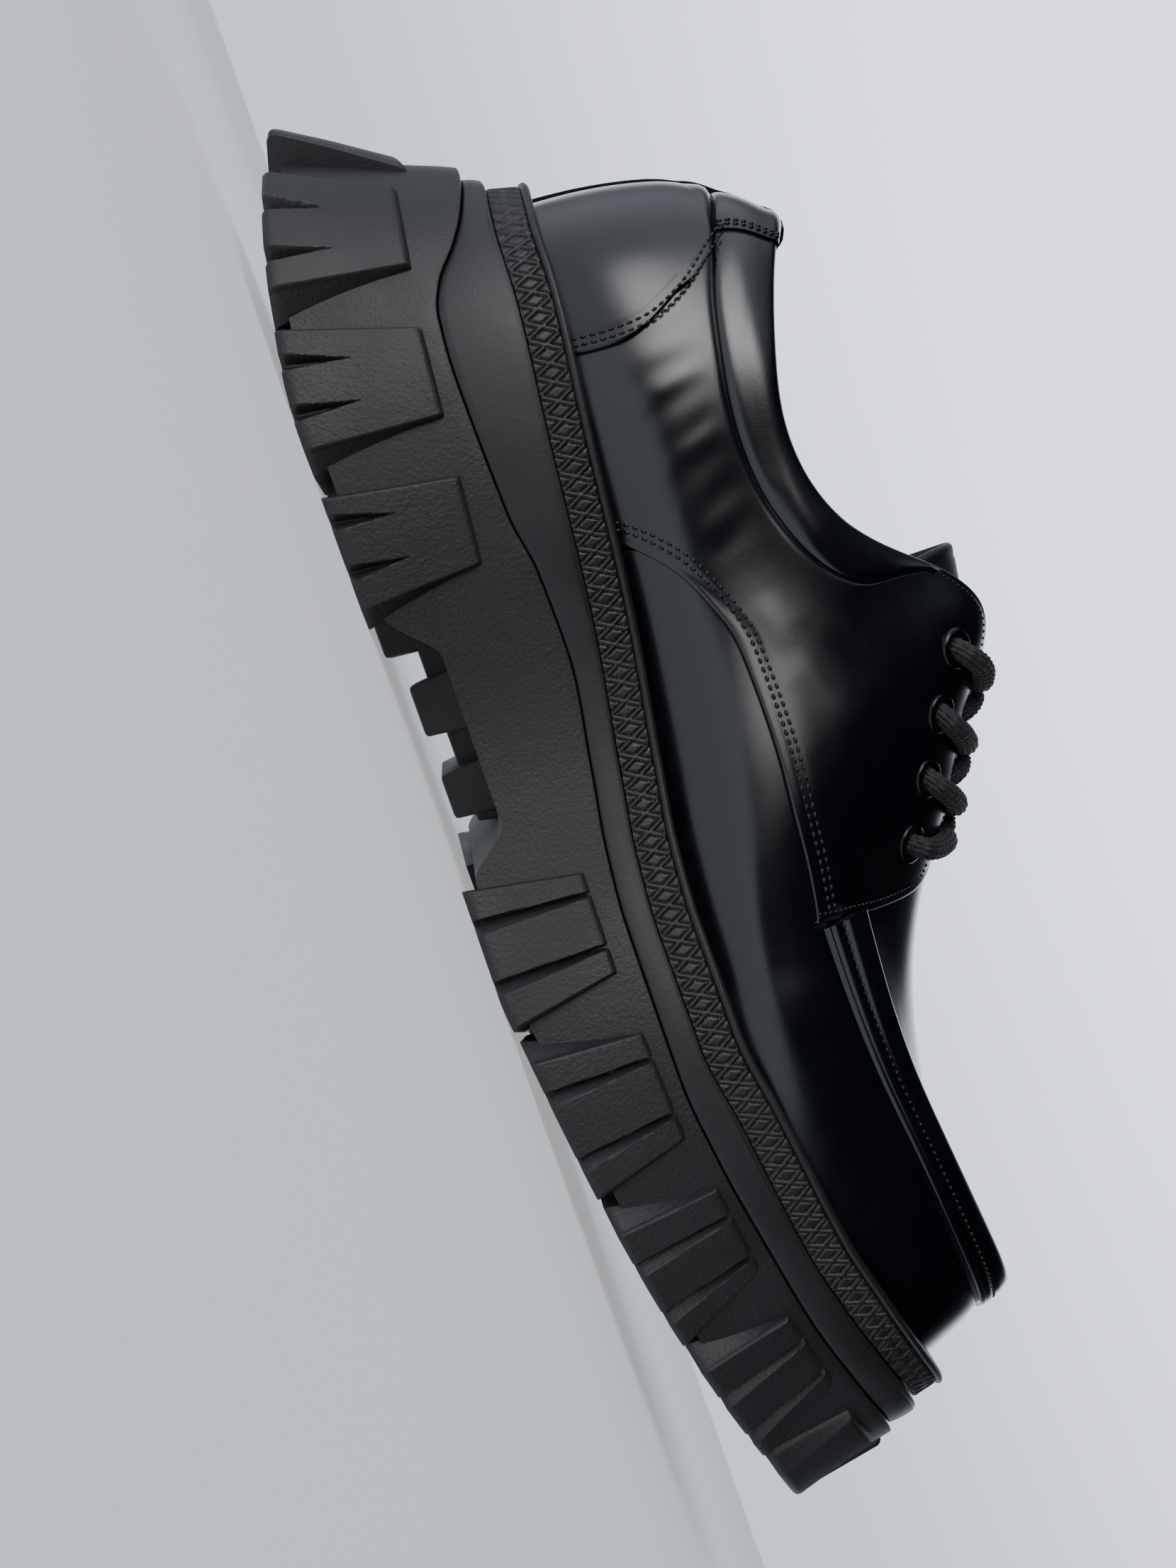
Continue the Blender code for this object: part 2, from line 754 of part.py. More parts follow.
def build_side_lug(bm, lug, outer, samples=5):
    """One side lug: a block that wraps from the side wall onto the tread."""
    _, low_rear, low_front, top_rear, top_front, z_rear, z_front = lug
    profiles = []
    for share in np.linspace(0, 1, samples):
        x_low = low_rear + (low_front - low_rear) * share
        x_top = top_rear + (top_front - top_rear) * share
        z_top = z_rear + (z_front - z_rear) * share
        foot, _ = wall_place(x_low, outer, LUG_PROUD, lambda x: steady(TREAD, x))
        head, facing = wall_place(x_top, outer, LUG_HEAD_PROUD, lambda x: z_top + 0 * x)
        profiles.append(lug_profile(foot, head, facing, z_top, LUG_REACH))
    add_lug(bm, profiles)


def build_end_lug(bm, toe, samples=7):
    """The lug that wraps round the rear end of the heel, or round the tip of the toe."""
    middle, span, z_top, proud_low, proud_top = END_LUGS["toe" if toe else "heel"]
    walls = ((lambda x: steady(TREAD, x), proud_low), (lambda x: z_top + 0 * x, proud_top))
    profiles = []
    for share in np.linspace(-1, 1, samples):
        place = []
        for height, proud in walls:
            outline = offset_outline(wall_offset(height) + proud)
            keep = outline[:, 0] > CENTRE_SHIFT if toe else outline[:, 0] < CENTRE_SHIFT
            ends = outline[keep]
            order = np.argsort(ends[:, 1])
            y = middle + span * share
            x = np.interp(y, ends[order, 1], ends[order, 0])
            facing = WELT_NORMAL[keep][order]
            nx = np.interp(y, ends[order, 1], facing[:, 0])
            ny = np.interp(y, ends[order, 1], facing[:, 1])
            place.append((np.array([x, y]), np.array([nx, ny])))
        (foot, facing), (head, _) = place
        profiles.append(lug_profile(foot, head, facing, z_top, END_LUG_REACH))
    add_lug(bm, profiles)


def add_block(bm, rear, front, half, low, high):
    """A block across the middle of the tread, from one height to another."""
    rows = []
    for x in (rear, front):
        middle = float(np.interp(x, *np.array(CENTRE_LINE).T))
        root = half + BLOCK_DRAFT
        corners = ((-half, low(x)), (half, low(x)), (root, high(x)), (-root, high(x)))
        rows.append([bm.verts.new(to_world((x, middle + y, float(z)))) for y, z in corners])
    add_faces(bm, rows, wrap=True)
    bm.faces.new(rows[0])
    bm.faces.new(rows[1][::-1])


def build_centre_lug(bm, lug):
    """A lug in the middle of the tread; the two in the arch hang just clear of the floor."""
    rear, front, half = lug
    in_arch = ARCH_REAR + ARCH_REAR_RAMP < (rear + front) / 2 < ARCH_FRONT - ARCH_FRONT_RAMP
    lift = ARCH_BLOCK_LIFT if in_arch else 0.0
    low, high = (lambda x: steady(TREAD, x) + lift), (lambda x: core_floor(x) + LUG_ROOT)
    add_block(bm, rear, front, half, low, high)


def build_arch_web(bm):
    """The rib that joins the arch's lugs along the middle."""
    rear, front, half, rise = ARCH_WEB
    low, high = (lambda x: steady(TREAD, x) + rise), (lambda x: ARCH_HEIGHT + LUG_ROOT)
    add_block(bm, rear, front, half, low, high)


def make_outsole(collection, cutters, finish):
    outsole = new_object("outsole", build_outsole_core, finish, collection)
    builders = []
    for lug in LUGS:
        for outer in (False, True):
            builders.append(lambda bm, lug=lug, outer=outer: build_side_lug(bm, lug, outer))
    for toe in (False, True):
        builders.append(lambda bm, toe=toe: build_end_lug(bm, toe))
    builders.append(build_arch_web)
    for lug in CENTRE_LUGS:
        builders.append(lambda bm, lug=lug: build_centre_lug(bm, lug))
    for number, build in enumerate(builders):
        block = new_object(f"lug_form_{number:02d}", build, finish, cutters)
        block.hide_render = True
        block.display_type = "WIRE"
        union = outsole.modifiers.new(block.name, "BOOLEAN")
        union.operation = "UNION"
        union.solver = "EXACT"
        union.object = block
    return outsole


# ---------------------------------------------------------------- upper


def upper_sheet(bm):
    """The upper's outer surface as one open sheet, rows by section, from heel to toe."""
    stations = UPPER_REAR + (UPPER_FRONT - UPPER_REAR) * spread(UPPER_STATIONS, 0.5)
    pad = bm.verts.layers.float.new("pad")
    rows = []
    for at in stations:
        halves = []
        covered = at >= THROAT_AT
        for outer in (False, True):
            points = section(at, outer, upto=5 if covered else 4)
            points = np.concatenate([[skirt(points[0], points[0][0])], points])
            halves.append([bm.verts.new(to_world(p)) for p in points])
        for half in halves:
            edge = 1 + sum(COLUMNS_BETWEEN[:4])
            fade = float(np.clip((PAD_END_AT - at) / PAD_FADE, 0, 1))
            for below, weight in enumerate(PAD_WEIGHTS):
                half[edge - below][pad] = weight * fade
        rows.append((covered, halves))
    for (_, near), (covered, far) in zip(rows, rows[1:]):
        for side in (0, 1):
            strip = [near[side], far[side]]
            shortest = min(len(near[side]), len(far[side]))
            add_faces(bm, [row[:shortest] for row in strip])
    bmesh.ops.remove_doubles(bm, verts=bm.verts, dist=1e-6)
    return pad


def make_upper(collection, finish):
    bm = bmesh.new()
    pad = upper_sheet(bm)
    weights = [vertex[pad] for vertex in bm.verts]
    bm.verts.layers.float.remove(pad)
    bmesh.ops.recalc_face_normals(bm, faces=bm.faces)
    mesh = bpy.data.meshes.new("upper")
    bm.to_mesh(mesh)
    bm.free()
    mesh.materials.append(finish)
    mesh.shade_smooth()
    upper = bpy.data.objects.new("upper", mesh)
    collection.objects.link(upper)
    group = upper.vertex_groups.new(name="padding")
    for index, weight in enumerate(weights):
        group.add([index], weight, "REPLACE")
    shell = upper.modifiers.new("wall", "SOLIDIFY")
    shell.thickness = (WALL + COLLAR_PAD) * MM
    shell.offset = -1.0
    shell.use_even_offset = True
    shell.vertex_group = "padding"
    shell.thickness_vertex_group = WALL / (WALL + COLLAR_PAD)
    return upper


def sheet_point(at, place, outer, out):
    """A point at a distance outside the upper's surface, or inside it where out is negative."""
    normal = upper_normal(at, place, outer)
    if place > 4.98:
        normal[1] = 0.0
        normal /= np.linalg.norm(normal)
    return upper_point(at, place, outer) + normal * out


def make_tongue(collection, finish):
    def build(bm):
        rows = []
        for at in np.linspace(TONGUE_REAR, TONGUE_FRONT, 12):
            places = np.linspace(TONGUE_SIDE, 5.0, 6)
            near = [sheet_point(at, place, False, -TONGUE_DROP) for place in places]
            far = [sheet_point(at, place, True, -TONGUE_DROP) for place in places[:-1]]
            rows.append([bm.verts.new(to_world(p)) for p in near + far[::-1]])
        add_faces(bm, rows)

    tongue = new_object("tongue", build, finish, collection, upward=True)
    shell = tongue.modifiers.new("thickness", "SOLIDIFY")
    shell.thickness = TONGUE_THICK * MM
    shell.offset = -1.0
    shell.use_even_offset = True
    return tongue


def make_counter(collection, cutters, finish):
    """The heel counter: a blank just outside the quarters, cut to its outline."""

    def build(bm):
        rows = []
        length = COUNTER_BLANK_FRONT - UPPER_REAR
        stations = UPPER_REAR + length * np.linspace(0, 1, 10) ** 1.7
        places = np.linspace(COUNTER_FOOT, COUNTER_HEAD, 9)
        for at in stations[::-1]:
            rows.append([bm.verts.new(to_world(sheet_point(at, p, False, GAP))) for p in places])
        for at in stations[1:]:
            rows.append([bm.verts.new(to_world(sheet_point(at, p, True, GAP))) for p in places])
        add_faces(bm, rows)

    counter = new_object("heel_counter", build, finish, collection, rearward=True)
    shell = counter.modifiers.new("thickness", "SOLIDIFY")
    shell.thickness = COUNTER_THICK * MM
    shell.offset = 1.0
    shell.use_even_offset = True

    def build_outline(bm):
        rows = []
        for y in (-CUTTER_REACH, CUTTER_REACH):
            rows.append([bm.verts.new(to_world((x, y, z))) for x, z in COUNTER_OUTLINE])
        add_faces(bm, rows, wrap=True)
        bm.faces.new(rows[0])
        bm.faces.new(rows[1][::-1])

    outline = new_object("counter_outline", build_outline, finish, cutters)
    outline.hide_render = True
    outline.display_type = "WIRE"
    cut = counter.modifiers.new("outline", "BOOLEAN")
    cut.operation = "INTERSECT"
    cut.solver = "EXACT"
    cut.object = outline
    return counter


def build_ridge(bm):
    """The raised seam round the apron, from the inner quarter round the toe to the outer one."""
    tip = UPPER_FRONT - RIDGE_TIP_GAP
    stations = RIDGE_START + (tip - RIDGE_START) * (1 - (1 - np.linspace(0, 1, RIDGE_STATIONS)) ** 2.4)
    path = [(at, False) for at in stations] + [(at, True) for at in stations[::-1]]
    rows = []
    for at, outer in path:
        point = upper_point(at, 2.0, outer)
        along = upper_point(at + 0.1, 2.0, outer) - upper_point(at - 0.1, 2.0, outer)
        along *= -1.0 if outer else 1.0
        up = upper_point(at, 2.15, outer) - upper_point(at, 1.85, outer)
        out = np.cross(along, up)
        out /= np.linalg.norm(out)
        up = np.cross(out, along)
        up /= np.linalg.norm(up)
        rows.append([bm.verts.new(to_world(point + out * a + up * b)) for a, b in RIDGE_SECTION])
    add_faces(bm, rows, wrap=True)
    bm.faces.new(rows[0])
    bm.faces.new(rows[-1][::-1])


def make_eyelets(collection):
    """Eight metal rings that lie on the facings."""
    metal = material("eyelet_metal", (0.02, 0.02, 0.022), 0.25, 1.0)
    middle = (EYELET_OUTER + EYELET_HOLE) / 2
    for side, outer in (("inner", False), ("outer", True)):
        for number, (at, place) in enumerate(EYELETS, start=1):
            bpy.ops.mesh.primitive_torus_add(
                major_segments=14,
                minor_segments=5,
                major_radius=middle * MM,
                minor_radius=(EYELET_OUTER - EYELET_HOLE) / 2 * MM,
            )
            eyelet = bpy.context.object
            eyelet.name = f"eyelet_{side}_{number}"
            eyelet.data.materials.append(metal)
            eyelet.data.shade_smooth()
            normal = Vector(upper_normal(at, place, outer))
            eyelet.location = to_world(sheet_point(at, place, outer, EYELET_LIFT))
            eyelet.rotation_mode = "QUATERNION"
            eyelet.rotation_quaternion = normal.to_track_quat("Z", "Y")
            for old in eyelet.users_collection:
                old.objects.unlink(eyelet)
            collection.objects.link(eyelet)


def make_cord(name, places, finish, collection):
    """A round cord through the given places, as one closed mesh."""
    places = np.array(places)
    run = np.concatenate(([0.0], np.cumsum(np.linalg.norm(np.diff(places, axis=0), axis=1))))
    count = max(8, int(run[-1] / (LACE_DIAMETER * 0.7)))
    even = np.linspace(0, run[-1], count)
    smooth = np.stack([spline(run, places[:, k], even) for k in range(3)], axis=1)
    curve = bpy.data.curves.new(name, "CURVE")
    curve.dimensions = "3D"
    curve.bevel_depth = LACE_DIAMETER / 2 * MM
    curve.bevel_resolution = 2
    curve.use_fill_caps = True
    line = curve.splines.new("POLY")
    line.points.add(count - 1)
    for point, place in zip(line.points, smooth):
        point.co = (*to_world(place), 1.0)
    guide = bpy.data.objects.new(name + "_route", curve)
    collection.objects.link(guide)
    bpy.context.view_layer.update()
    evaluated = guide.evaluated_get(bpy.context.evaluated_depsgraph_get())
    mesh = bpy.data.meshes.new_from_object(evaluated)
    bpy.data.objects.remove(guide, do_unlink=True)
    bm = bmesh.new()
    bm.from_mesh(mesh)
    bmesh.ops.remove_doubles(bm, verts=bm.verts, dist=1e-6)
    bmesh.ops.triangulate(bm, faces=bm.faces)
    bmesh.ops.recalc_face_normals(bm, faces=bm.faces)
    bm.to_mesh(mesh)
    bm.free()
    mesh.materials.clear()
    mesh.materials.append(finish)
    mesh.shade_smooth()
    cord = bpy.data.objects.new(name, mesh)
    collection.objects.link(cord)
    return cord


def lace_route(number, outer, forward):
    """A lace from an eyelet up over the facing's edge to the crown: section, place and lift."""
    at, place = EYELETS[number]
    steps = [
        (0.0, place, LACE_LIFT - 1.75),
        (0.0, place, LACE_LIFT - 0.8),
        (0.1, place + 0.05, LACE_LIFT + 0.8),
        (0.38, place + 0.28, LACE_LIFT + 1.1),
        (0.74, 4.02, LACE_LIFT),
        (0.9, 4.5, LACE_LIFT - 0.9),
        (1.0, 5.0, LACE_LIFT - 1.4),
    ]
    return [sheet_point(at + forward * share, spot, outer, lift) for share, spot, lift in steps]


def make_laces(collection, cutters, finish):
    near = lace_route(0, False, LACE_FORWARD[0])
    far = lace_route(0, True, LACE_FORWARD[0])
    make_cord("lace_bar", near + far[-2::-1], finish, collection)
    for number in (1, 2, 3):
        forward = LACE_FORWARD[number]
        end = EYELETS[number][0] + forward * LACE_END
        strands = []
        for outer in (False, True):
            route = lace_route(number, outer, forward)
            route.append(sheet_point(end, LACE_END_PLACE, not outer, LACE_END_LIFT))
            strands.append(route)
        cross = make_cord(f"lace_cross_{number}", strands[0], finish, collection)
        other = make_cord(f"lace_strand_{number}", strands[1], finish, cutters)
        other.hide_render = True
        other.display_type = "WIRE"
        union = cross.modifiers.new("other strand", "BOOLEAN")
        union.operation = "UNION"
        union.solver = "EXACT"
        union.object = other


def main():
    for old in list(bpy.data.objects):
        bpy.data.objects.remove(old, do_unlink=True)
    scene = bpy.context.scene
    shoe = bpy.data.collections.new("shoe")
    cutters = bpy.data.collections.new("cutters")
    scene.collection.children.link(shoe)
    scene.collection.children.link(cutters)
    rubber = material("rubber", (0.012, 0.012, 0.014), 0.55)
    make_outsole(shoe, cutters, rubber)
    new_object("midsole", build_midsole, material("midsole_rubber", (0.014, 0.014, 0.016), 0.45), shoe)
    new_object("welt", build_welt, material("welt_rubber", (0.012, 0.012, 0.014), 0.5), shoe)
    new_object("insole", build_insole, material("insole_lining", (0.05, 0.05, 0.055), 0.8), shoe)
    make_upper(shoe, material("leather", (0.01, 0.01, 0.012), 0.3))
    make_tongue(shoe, material("tongue_leather", (0.01, 0.01, 0.012), 0.35))
    make_counter(shoe, cutters, material("counter_leather", (0.01, 0.01, 0.012), 0.28))
    new_object("apron_ridge", build_ridge, material("ridge_leather", (0.01, 0.01, 0.012), 0.3), shoe)
    make_eyelets(shoe)
    make_laces(shoe, cutters, material("lace_cord", (0.02, 0.02, 0.022), 0.75))


main()
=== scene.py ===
"""Looks of a lace-up apron-toe shoe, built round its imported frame.

Metres in Blender, +X to the toe, -Y the inner side. Tables and sizes are in millimetres,
measured along X from the rear end of the sole, as in the part's own source.
"""

import math
from functools import partial

import bmesh
import bpy
import numpy as np
from mathutils import Matrix, Vector

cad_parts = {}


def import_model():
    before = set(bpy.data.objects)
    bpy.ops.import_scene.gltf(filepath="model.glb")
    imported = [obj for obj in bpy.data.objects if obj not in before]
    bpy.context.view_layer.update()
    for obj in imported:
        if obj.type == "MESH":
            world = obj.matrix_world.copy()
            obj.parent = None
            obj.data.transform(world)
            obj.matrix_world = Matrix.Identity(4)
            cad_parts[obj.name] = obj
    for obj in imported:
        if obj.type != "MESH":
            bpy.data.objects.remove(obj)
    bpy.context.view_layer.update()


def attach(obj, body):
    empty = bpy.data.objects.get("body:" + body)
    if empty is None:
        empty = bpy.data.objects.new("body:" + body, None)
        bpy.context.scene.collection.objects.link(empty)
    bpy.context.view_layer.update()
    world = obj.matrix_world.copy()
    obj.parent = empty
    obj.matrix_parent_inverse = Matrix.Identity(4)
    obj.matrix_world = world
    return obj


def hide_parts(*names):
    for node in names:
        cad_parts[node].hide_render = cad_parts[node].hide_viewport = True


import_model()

MM = 0.001

# ---------------------------------------------------------------- the part's own sizes

FEATHER_DROP = 0.6
TREAD_DEPTH = 2.8
ARCH_HEIGHT = 10.6
ARCH_REAR = 93.0
ARCH_FRONT = 143.5
ARCH_REAR_RAMP = 11.0
ARCH_FRONT_RAMP = 8.0
LUG_PROUD = 2.6
LUG_ROOT = 2.5
ARCH_BLOCK_LIFT = 2.6
BLOCK_DRAFT = 1.0
WELT_HEIGHT = 7.9
WELT_TOE_DROP = 1.4
WELT_TOE_START = 240.0
WELT_TOE_END = 280.0
COLLAR_ROLL = 1.9
COLLAR_SIDE_SHARE = 0.45
COLLAR_HEEL_FADE = 60.0
PAD_END_AT = 124.0
PAD_FADE = 16.0
CENTRE_SHIFT = 143.04
WIDTH_SHIFT = 0.8

# The plan outline of the welt, from the heel along the inner side and back along the outer: x, y.
WELT_OUTLINE = (
    (20.0, 0.0), (24.2, -17.0), (38.0, -31.0), (60.0, -37.0), (85.0, -36.7), (118.0, -34.6),
    (150.0, -39.8), (180.0, -47.6), (210.0, -50.4), (237.0, -48.6), (259.5, -41.0), (274.5, -25.0),
    (280.3, -7.0), (277.0, 12.0), (262.5, 33.0), (239.0, 46.5), (205.0, 52.0), (170.0, 49.0),
    (135.0, 41.8), (100.0, 38.0), (65.0, 37.0), (38.0, 31.0), (24.2, 17.0),
)

# Side view heights: x, z.
TREAD = (
    (0.0, 13.0), (16.0, 8.0), (29.0, 4.6), (43.0, 1.8), (52.0, 0.5), (60.0, 0.0), (162.0, 0.0),
    (176.0, 1.5), (200.0, 4.4), (224.0, 8.4), (246.0, 13.4), (270.0, 19.4), (295.0, 23.5),
)
PARTING = (
    (12.0, 45.0), (20.0, 43.8), (29.0, 40.6), (35.0, 37.0), (41.0, 32.3), (47.0, 30.0),
    (58.0, 29.2), (84.0, 30.0), (95.0, 31.8), (110.0, 32.3), (132.0, 29.3), (146.0, 26.9),
    (160.0, 25.6), (188.0, 25.3), (204.0, 26.9), (222.0, 30.0), (240.0, 33.6), (256.0, 38.2),
    (272.0, 42.6), (290.0, 45.0),
)
MIDSOLE_TOP = (
    (14.0, 49.5), (20.0, 48.6), (28.0, 46.6), (36.0, 45.2), (48.0, 44.4), (72.0, 41.8),
    (106.0, 38.8), (134.0, 34.4), (150.0, 31.8), (164.0, 30.8), (184.0, 30.8), (200.0, 33.1),
    (228.0, 37.2), (242.0, 40.8), (256.0, 45.0), (270.0, 49.0), (290.0, 52.0),
)

# How far each wall stands outside the welt outline: at the sides, the heel and the toe. The slope
# is the outsole wall's spread for each millimetre down from its top.
FLARE = {
    "outsole_top": (0.9, 5.0, 3.6),
    "outsole_slope": (0.09, 0.34, 0.13),
    "midsole_low": (0.3, 2.4, 1.7),
    "midsole_high": (-0.2, 0.8, 0.7),
    "welt_low": (-0.9, -0.8, -1.8),
    "welt_high": (-1.6, -2.6, -3.4),
    "upper": (-5.6, -7.6, -8.5),
}

# Side lugs from heel to toe: rear and front ends at the tread and at the top, and the top's heights.
LUGS = (
    # low_rear, low_front, top_rear, top_front, z_rear, z_front
    ("heel_a", 11.4, 34.8, 20.4, 36.9, 30.8, 28.2),
    ("heel_b", 41.3, 63.4, 48.0, 64.2, 26.3, 24.9),
    ("heel_c", 71.3, 92.3, 74.8, 90.6, 24.0, 22.7),
    ("ball_1", 143.6, 169.0, 148.1, 166.3, 21.4, 21.0),
    ("ball_2", 174.8, 201.3, 177.3, 197.5, 21.7, 22.6),
    ("ball_3", 208.0, 232.2, 207.6, 224.7, 25.0, 27.3),
    ("ball_4", 237.7, 260.8, 235.3, 252.1, 29.6, 33.6),
    ("ball_5", 263.2, 277.6, 260.8, 272.3, 35.0, 38.2),
)

# The lugs at the two ends: middle and half width across the shoe, height of the top, and how far
# they stand outside the wall at the tread and at the top.
END_LUGS = {
    "heel": (0.0, 19.0, 34.4, 6.2, 1.2),
    "toe": (-7.0, 17.0, 41.0, 1.7, 1.2),
}

# Blocks along the middle of the tread: rear, front, half width.
CENTRE_LUGS = (
    (36.5, 47.0, 12.0), (61.0, 76.0, 12.0), (89.0, 100.5, 12.0), (107.0, 117.2, 21.0),
    (125.0, 133.8, 21.0), (163.5, 184.5, 14.0), (194.5, 210.0, 15.0), (225.0, 239.5, 14.0),
)

# The rib along the middle of the arch: rear, front, half width, height above the floor.
ARCH_WEB = (96.5, 136.5, 13.0, 6.4)

# The upper's centre line in plan: x, y.
CENTRE_LINE = (
    (27.0, 0.0), (60.0, 0.0), (110.0, 0.4), (160.0, 0.8), (200.0, 0.2), (235.0, -2.4),
    (262.0, -6.4), (272.0, -7.0),
)

# Lines that run along the upper. Each row belongs to the section that starts at "at" on the sole:
# at, shift along X, half width as a share of the section's half width there, height.
BELLY = (
    (27.4, 0.6, 1.02, 64.0), (50.0, 0.3, 1.05, 63.0), (70.0, 0.0, 1.08, 61.5),
    (95.0, 0.0, 1.13, 59.5), (118.0, 0.0, 1.19, 57.0), (138.0, 0.0, 1.22, 53.0),
    (155.0, 0.0, 1.17, 49.5), (175.0, 0.0, 1.08, 47.5), (200.0, 0.0, 1.01, 49.0),
    (235.0, -0.6, 0.97, 55.0), (258.0, -1.6, 0.95, 59.6), (272.0, -2.0, 0.95, 61.5),
)
SHOULDER = (
    (27.4, 2.6, 0.96, 77.0), (50.0, 1.4, 0.98, 76.2), (70.0, 0.4, 1.05, 74.8),
    (95.0, 0.0, 1.10, 73.4), (118.0, 0.4, 1.18, 71.8), (138.0, 1.0, 1.21, 68.6),
    (155.0, 1.0, 1.13, 64.6), (168.0, 0.6, 1.01, 62.6), (180.0, -0.2, 0.925, 62.0),
    (196.0, -2.4, 0.85, 63.2), (215.0, -4.2, 0.78, 65.3), (235.0, -5.8, 0.73, 67.9),
    (252.0, -5.6, 0.69, 70.0), (263.0, -5.8, 0.68, 71.0), (272.0, -9.6, 0.68, 71.6),
)
FLANK = (
    (27.4, 5.2, 0.90, 84.5), (50.0, 2.8, 0.92, 83.2), (70.0, 1.2, 1.02, 80.2),
    (92.0, -1.0, 1.075, 78.6), (108.0, -2.2, 1.12, 80.4), (120.0, -3.4, 1.08, 84.0),
    (130.0, -4.2, 1.01, 87.4), (140.0, -5.0, 0.95, 88.8), (152.0, -5.6, 0.885, 84.8),
    (165.0, -6.4, 0.80, 79.8), (177.0, -6.8, 0.715, 75.8), (188.0, -7.0, 0.645, 73.4),
    (202.0, -6.4, 0.59, 71.9), (218.0, -5.8, 0.54, 71.0), (235.0, -5.6, 0.49, 70.9),
    (252.0, -6.0, 0.45, 71.3), (272.0, -11.2, 0.44, 71.9),
)
EDGE = (
    (27.4, 15.6, 0.72, 102.6), (36.0, 11.2, 0.72, 99.4), (50.0, 6.2, 0.77, 94.2),
    (70.0, 2.0, 0.95, 87.6), (90.0, -3.2, 1.01, 85.2), (106.0, -5.8, 0.99, 88.6),
    (118.0, -7.6, 0.86, 96.6), (129.0, -9.6, 0.63, 107.8), (139.5, -11.0, 0.47, 114.5),
    (149.0, -12.4, 0.42, 112.6), (163.0, -13.2, 0.37, 104.0), (176.0, -13.2, 0.34, 97.0),
    (186.0, -12.4, 0.325, 89.6), (200.0, -9.4, 0.31, 80.6), (216.0, -7.6, 0.29, 75.6),
    (235.0, -6.4, 0.26, 72.8), (252.0, -6.6, 0.24, 72.2), (272.0, -13.0, 0.22, 72.1),
)
CROWN = (
    (118.0, -7.6, 0.0, 121.0), (129.0, -9.6, 0.0, 120.4), (139.5, -11.0, 0.0, 118.4),
    (149.0, -12.4, 0.0, 115.6), (163.0, -13.2, 0.0, 107.2), (176.0, -13.2, 0.0, 99.8),
    (186.0, -12.4, 0.0, 92.0), (200.0, -9.4, 0.0, 82.0), (216.0, -7.6, 0.0, 76.4),
    (235.0, -6.4, 0.0, 73.2), (252.0, -6.8, 0.0, 72.3), (272.0, -14.6, 0.0, 72.2),
)

# The key lines of each section from the welt up, the first one being the feather line, and how
# much of the sole's extra outer width each keeps.
KEY_LINES = (None, BELLY, SHOULDER, FLANK, EDGE, CROWN)
OUTER_SHARE = (1.0, 0.9, 0.6, 0.3, 0.0, 0.0)

# Eyelet pairs from the front: the section they stand on and their place between flank and edge.
EYELETS = (
    (177.5, 3.36), (167.5, 3.48), (156.0, 3.50), (144.5, 3.55),
)


# ---------------------------------------------------------------- curves


def fade(value, start, end):
    """0 up to start, 1 from end on, and straight between the two."""
    return np.clip((value - start) / (end - start), 0, 1)


def smooth(t):
    """A share from 0 to 1 that leaves and arrives level."""
    return t * t * (3 - 2 * t)


def groove(away, width):
    """Depth of a round groove of depth 1, at distances away from its middle."""
    return np.exp(-((away / width) ** 2))


def unit(vectors):
    return vectors / np.maximum(np.linalg.norm(vectors, axis=-1, keepdims=True), 1e-12)


def run_along(points):
    """Distance to each point along the line through them."""
    return np.concatenate(([0.0], np.cumsum(np.linalg.norm(np.diff(points, axis=0), axis=1))))


def interval(xs, x):
    """x held within the table's first column, and the number of the last row before it."""
    x = np.clip(x, xs[0], xs[-1])
    return x, np.clip(np.searchsorted(xs, x) - 1, 0, len(xs) - 2)


def spline(xs, ys, x):
    """Natural cubic spline through the given points."""
    step = np.diff(xs)
    rise = np.diff(ys) / step
    matrix = np.eye(len(xs))
    right = np.zeros(len(xs))
    for i in range(1, len(xs) - 1):
        matrix[i, i - 1 : i + 2] = step[i - 1], 2 * (step[i - 1] + step[i]), step[i]
        right[i] = 6 * (rise[i] - rise[i - 1])
    bend = np.linalg.solve(matrix, right)
    x, at = interval(xs, x)
    behind, ahead, width = x - xs[at], xs[at + 1] - x, step[at]
    return (
        (bend[at] * ahead**3 + bend[at + 1] * behind**3) / (6 * width)
        + (ys[at] / width - bend[at] * width / 6) * ahead
        + (ys[at + 1] / width - bend[at + 1] * width / 6) * behind
    )


def steady(table, x):
    """Curve through a table of (x, z) that never overshoots its points."""
    xs, ys = np.array(table).T
    step = np.diff(xs)
    rise = np.diff(ys) / step
    slope = rise[[0, *range(len(rise))]]
    for i in range(1, len(rise)):
        both = rise[i - 1] * rise[i]
        slope[i] = 2 * both / (rise[i - 1] + rise[i]) if both > 0 else 0.0
    x, at = interval(xs, x)
    width = step[at]
    t = (x - xs[at]) / width
    return (
        ys[at] * (1 + 2 * t) * (1 - t) ** 2
        + slope[at] * width * t * (1 - t) ** 2
        + ys[at + 1] * smooth(t)
        + slope[at + 1] * width * t * t * (t - 1)
    )


tread_at = partial(steady, TREAD)
parting_at = partial(steady, PARTING)
midsole_at = partial(steady, MIDSOLE_TOP)


def centre_at(x):
    return spline(*np.array(CENTRE_LINE).T, x)


def smooth_through(points, where):
    """Points at distances along a smooth line through the given ones."""
    run = run_along(points)
    return np.stack([spline(run, column, where) for column in points.T], axis=1)


# Points of the welt's closed outline, and how many of its points overlap at its start.
OUTLINE_COUNT = 960
OUTLINE_OVERLAP = 4


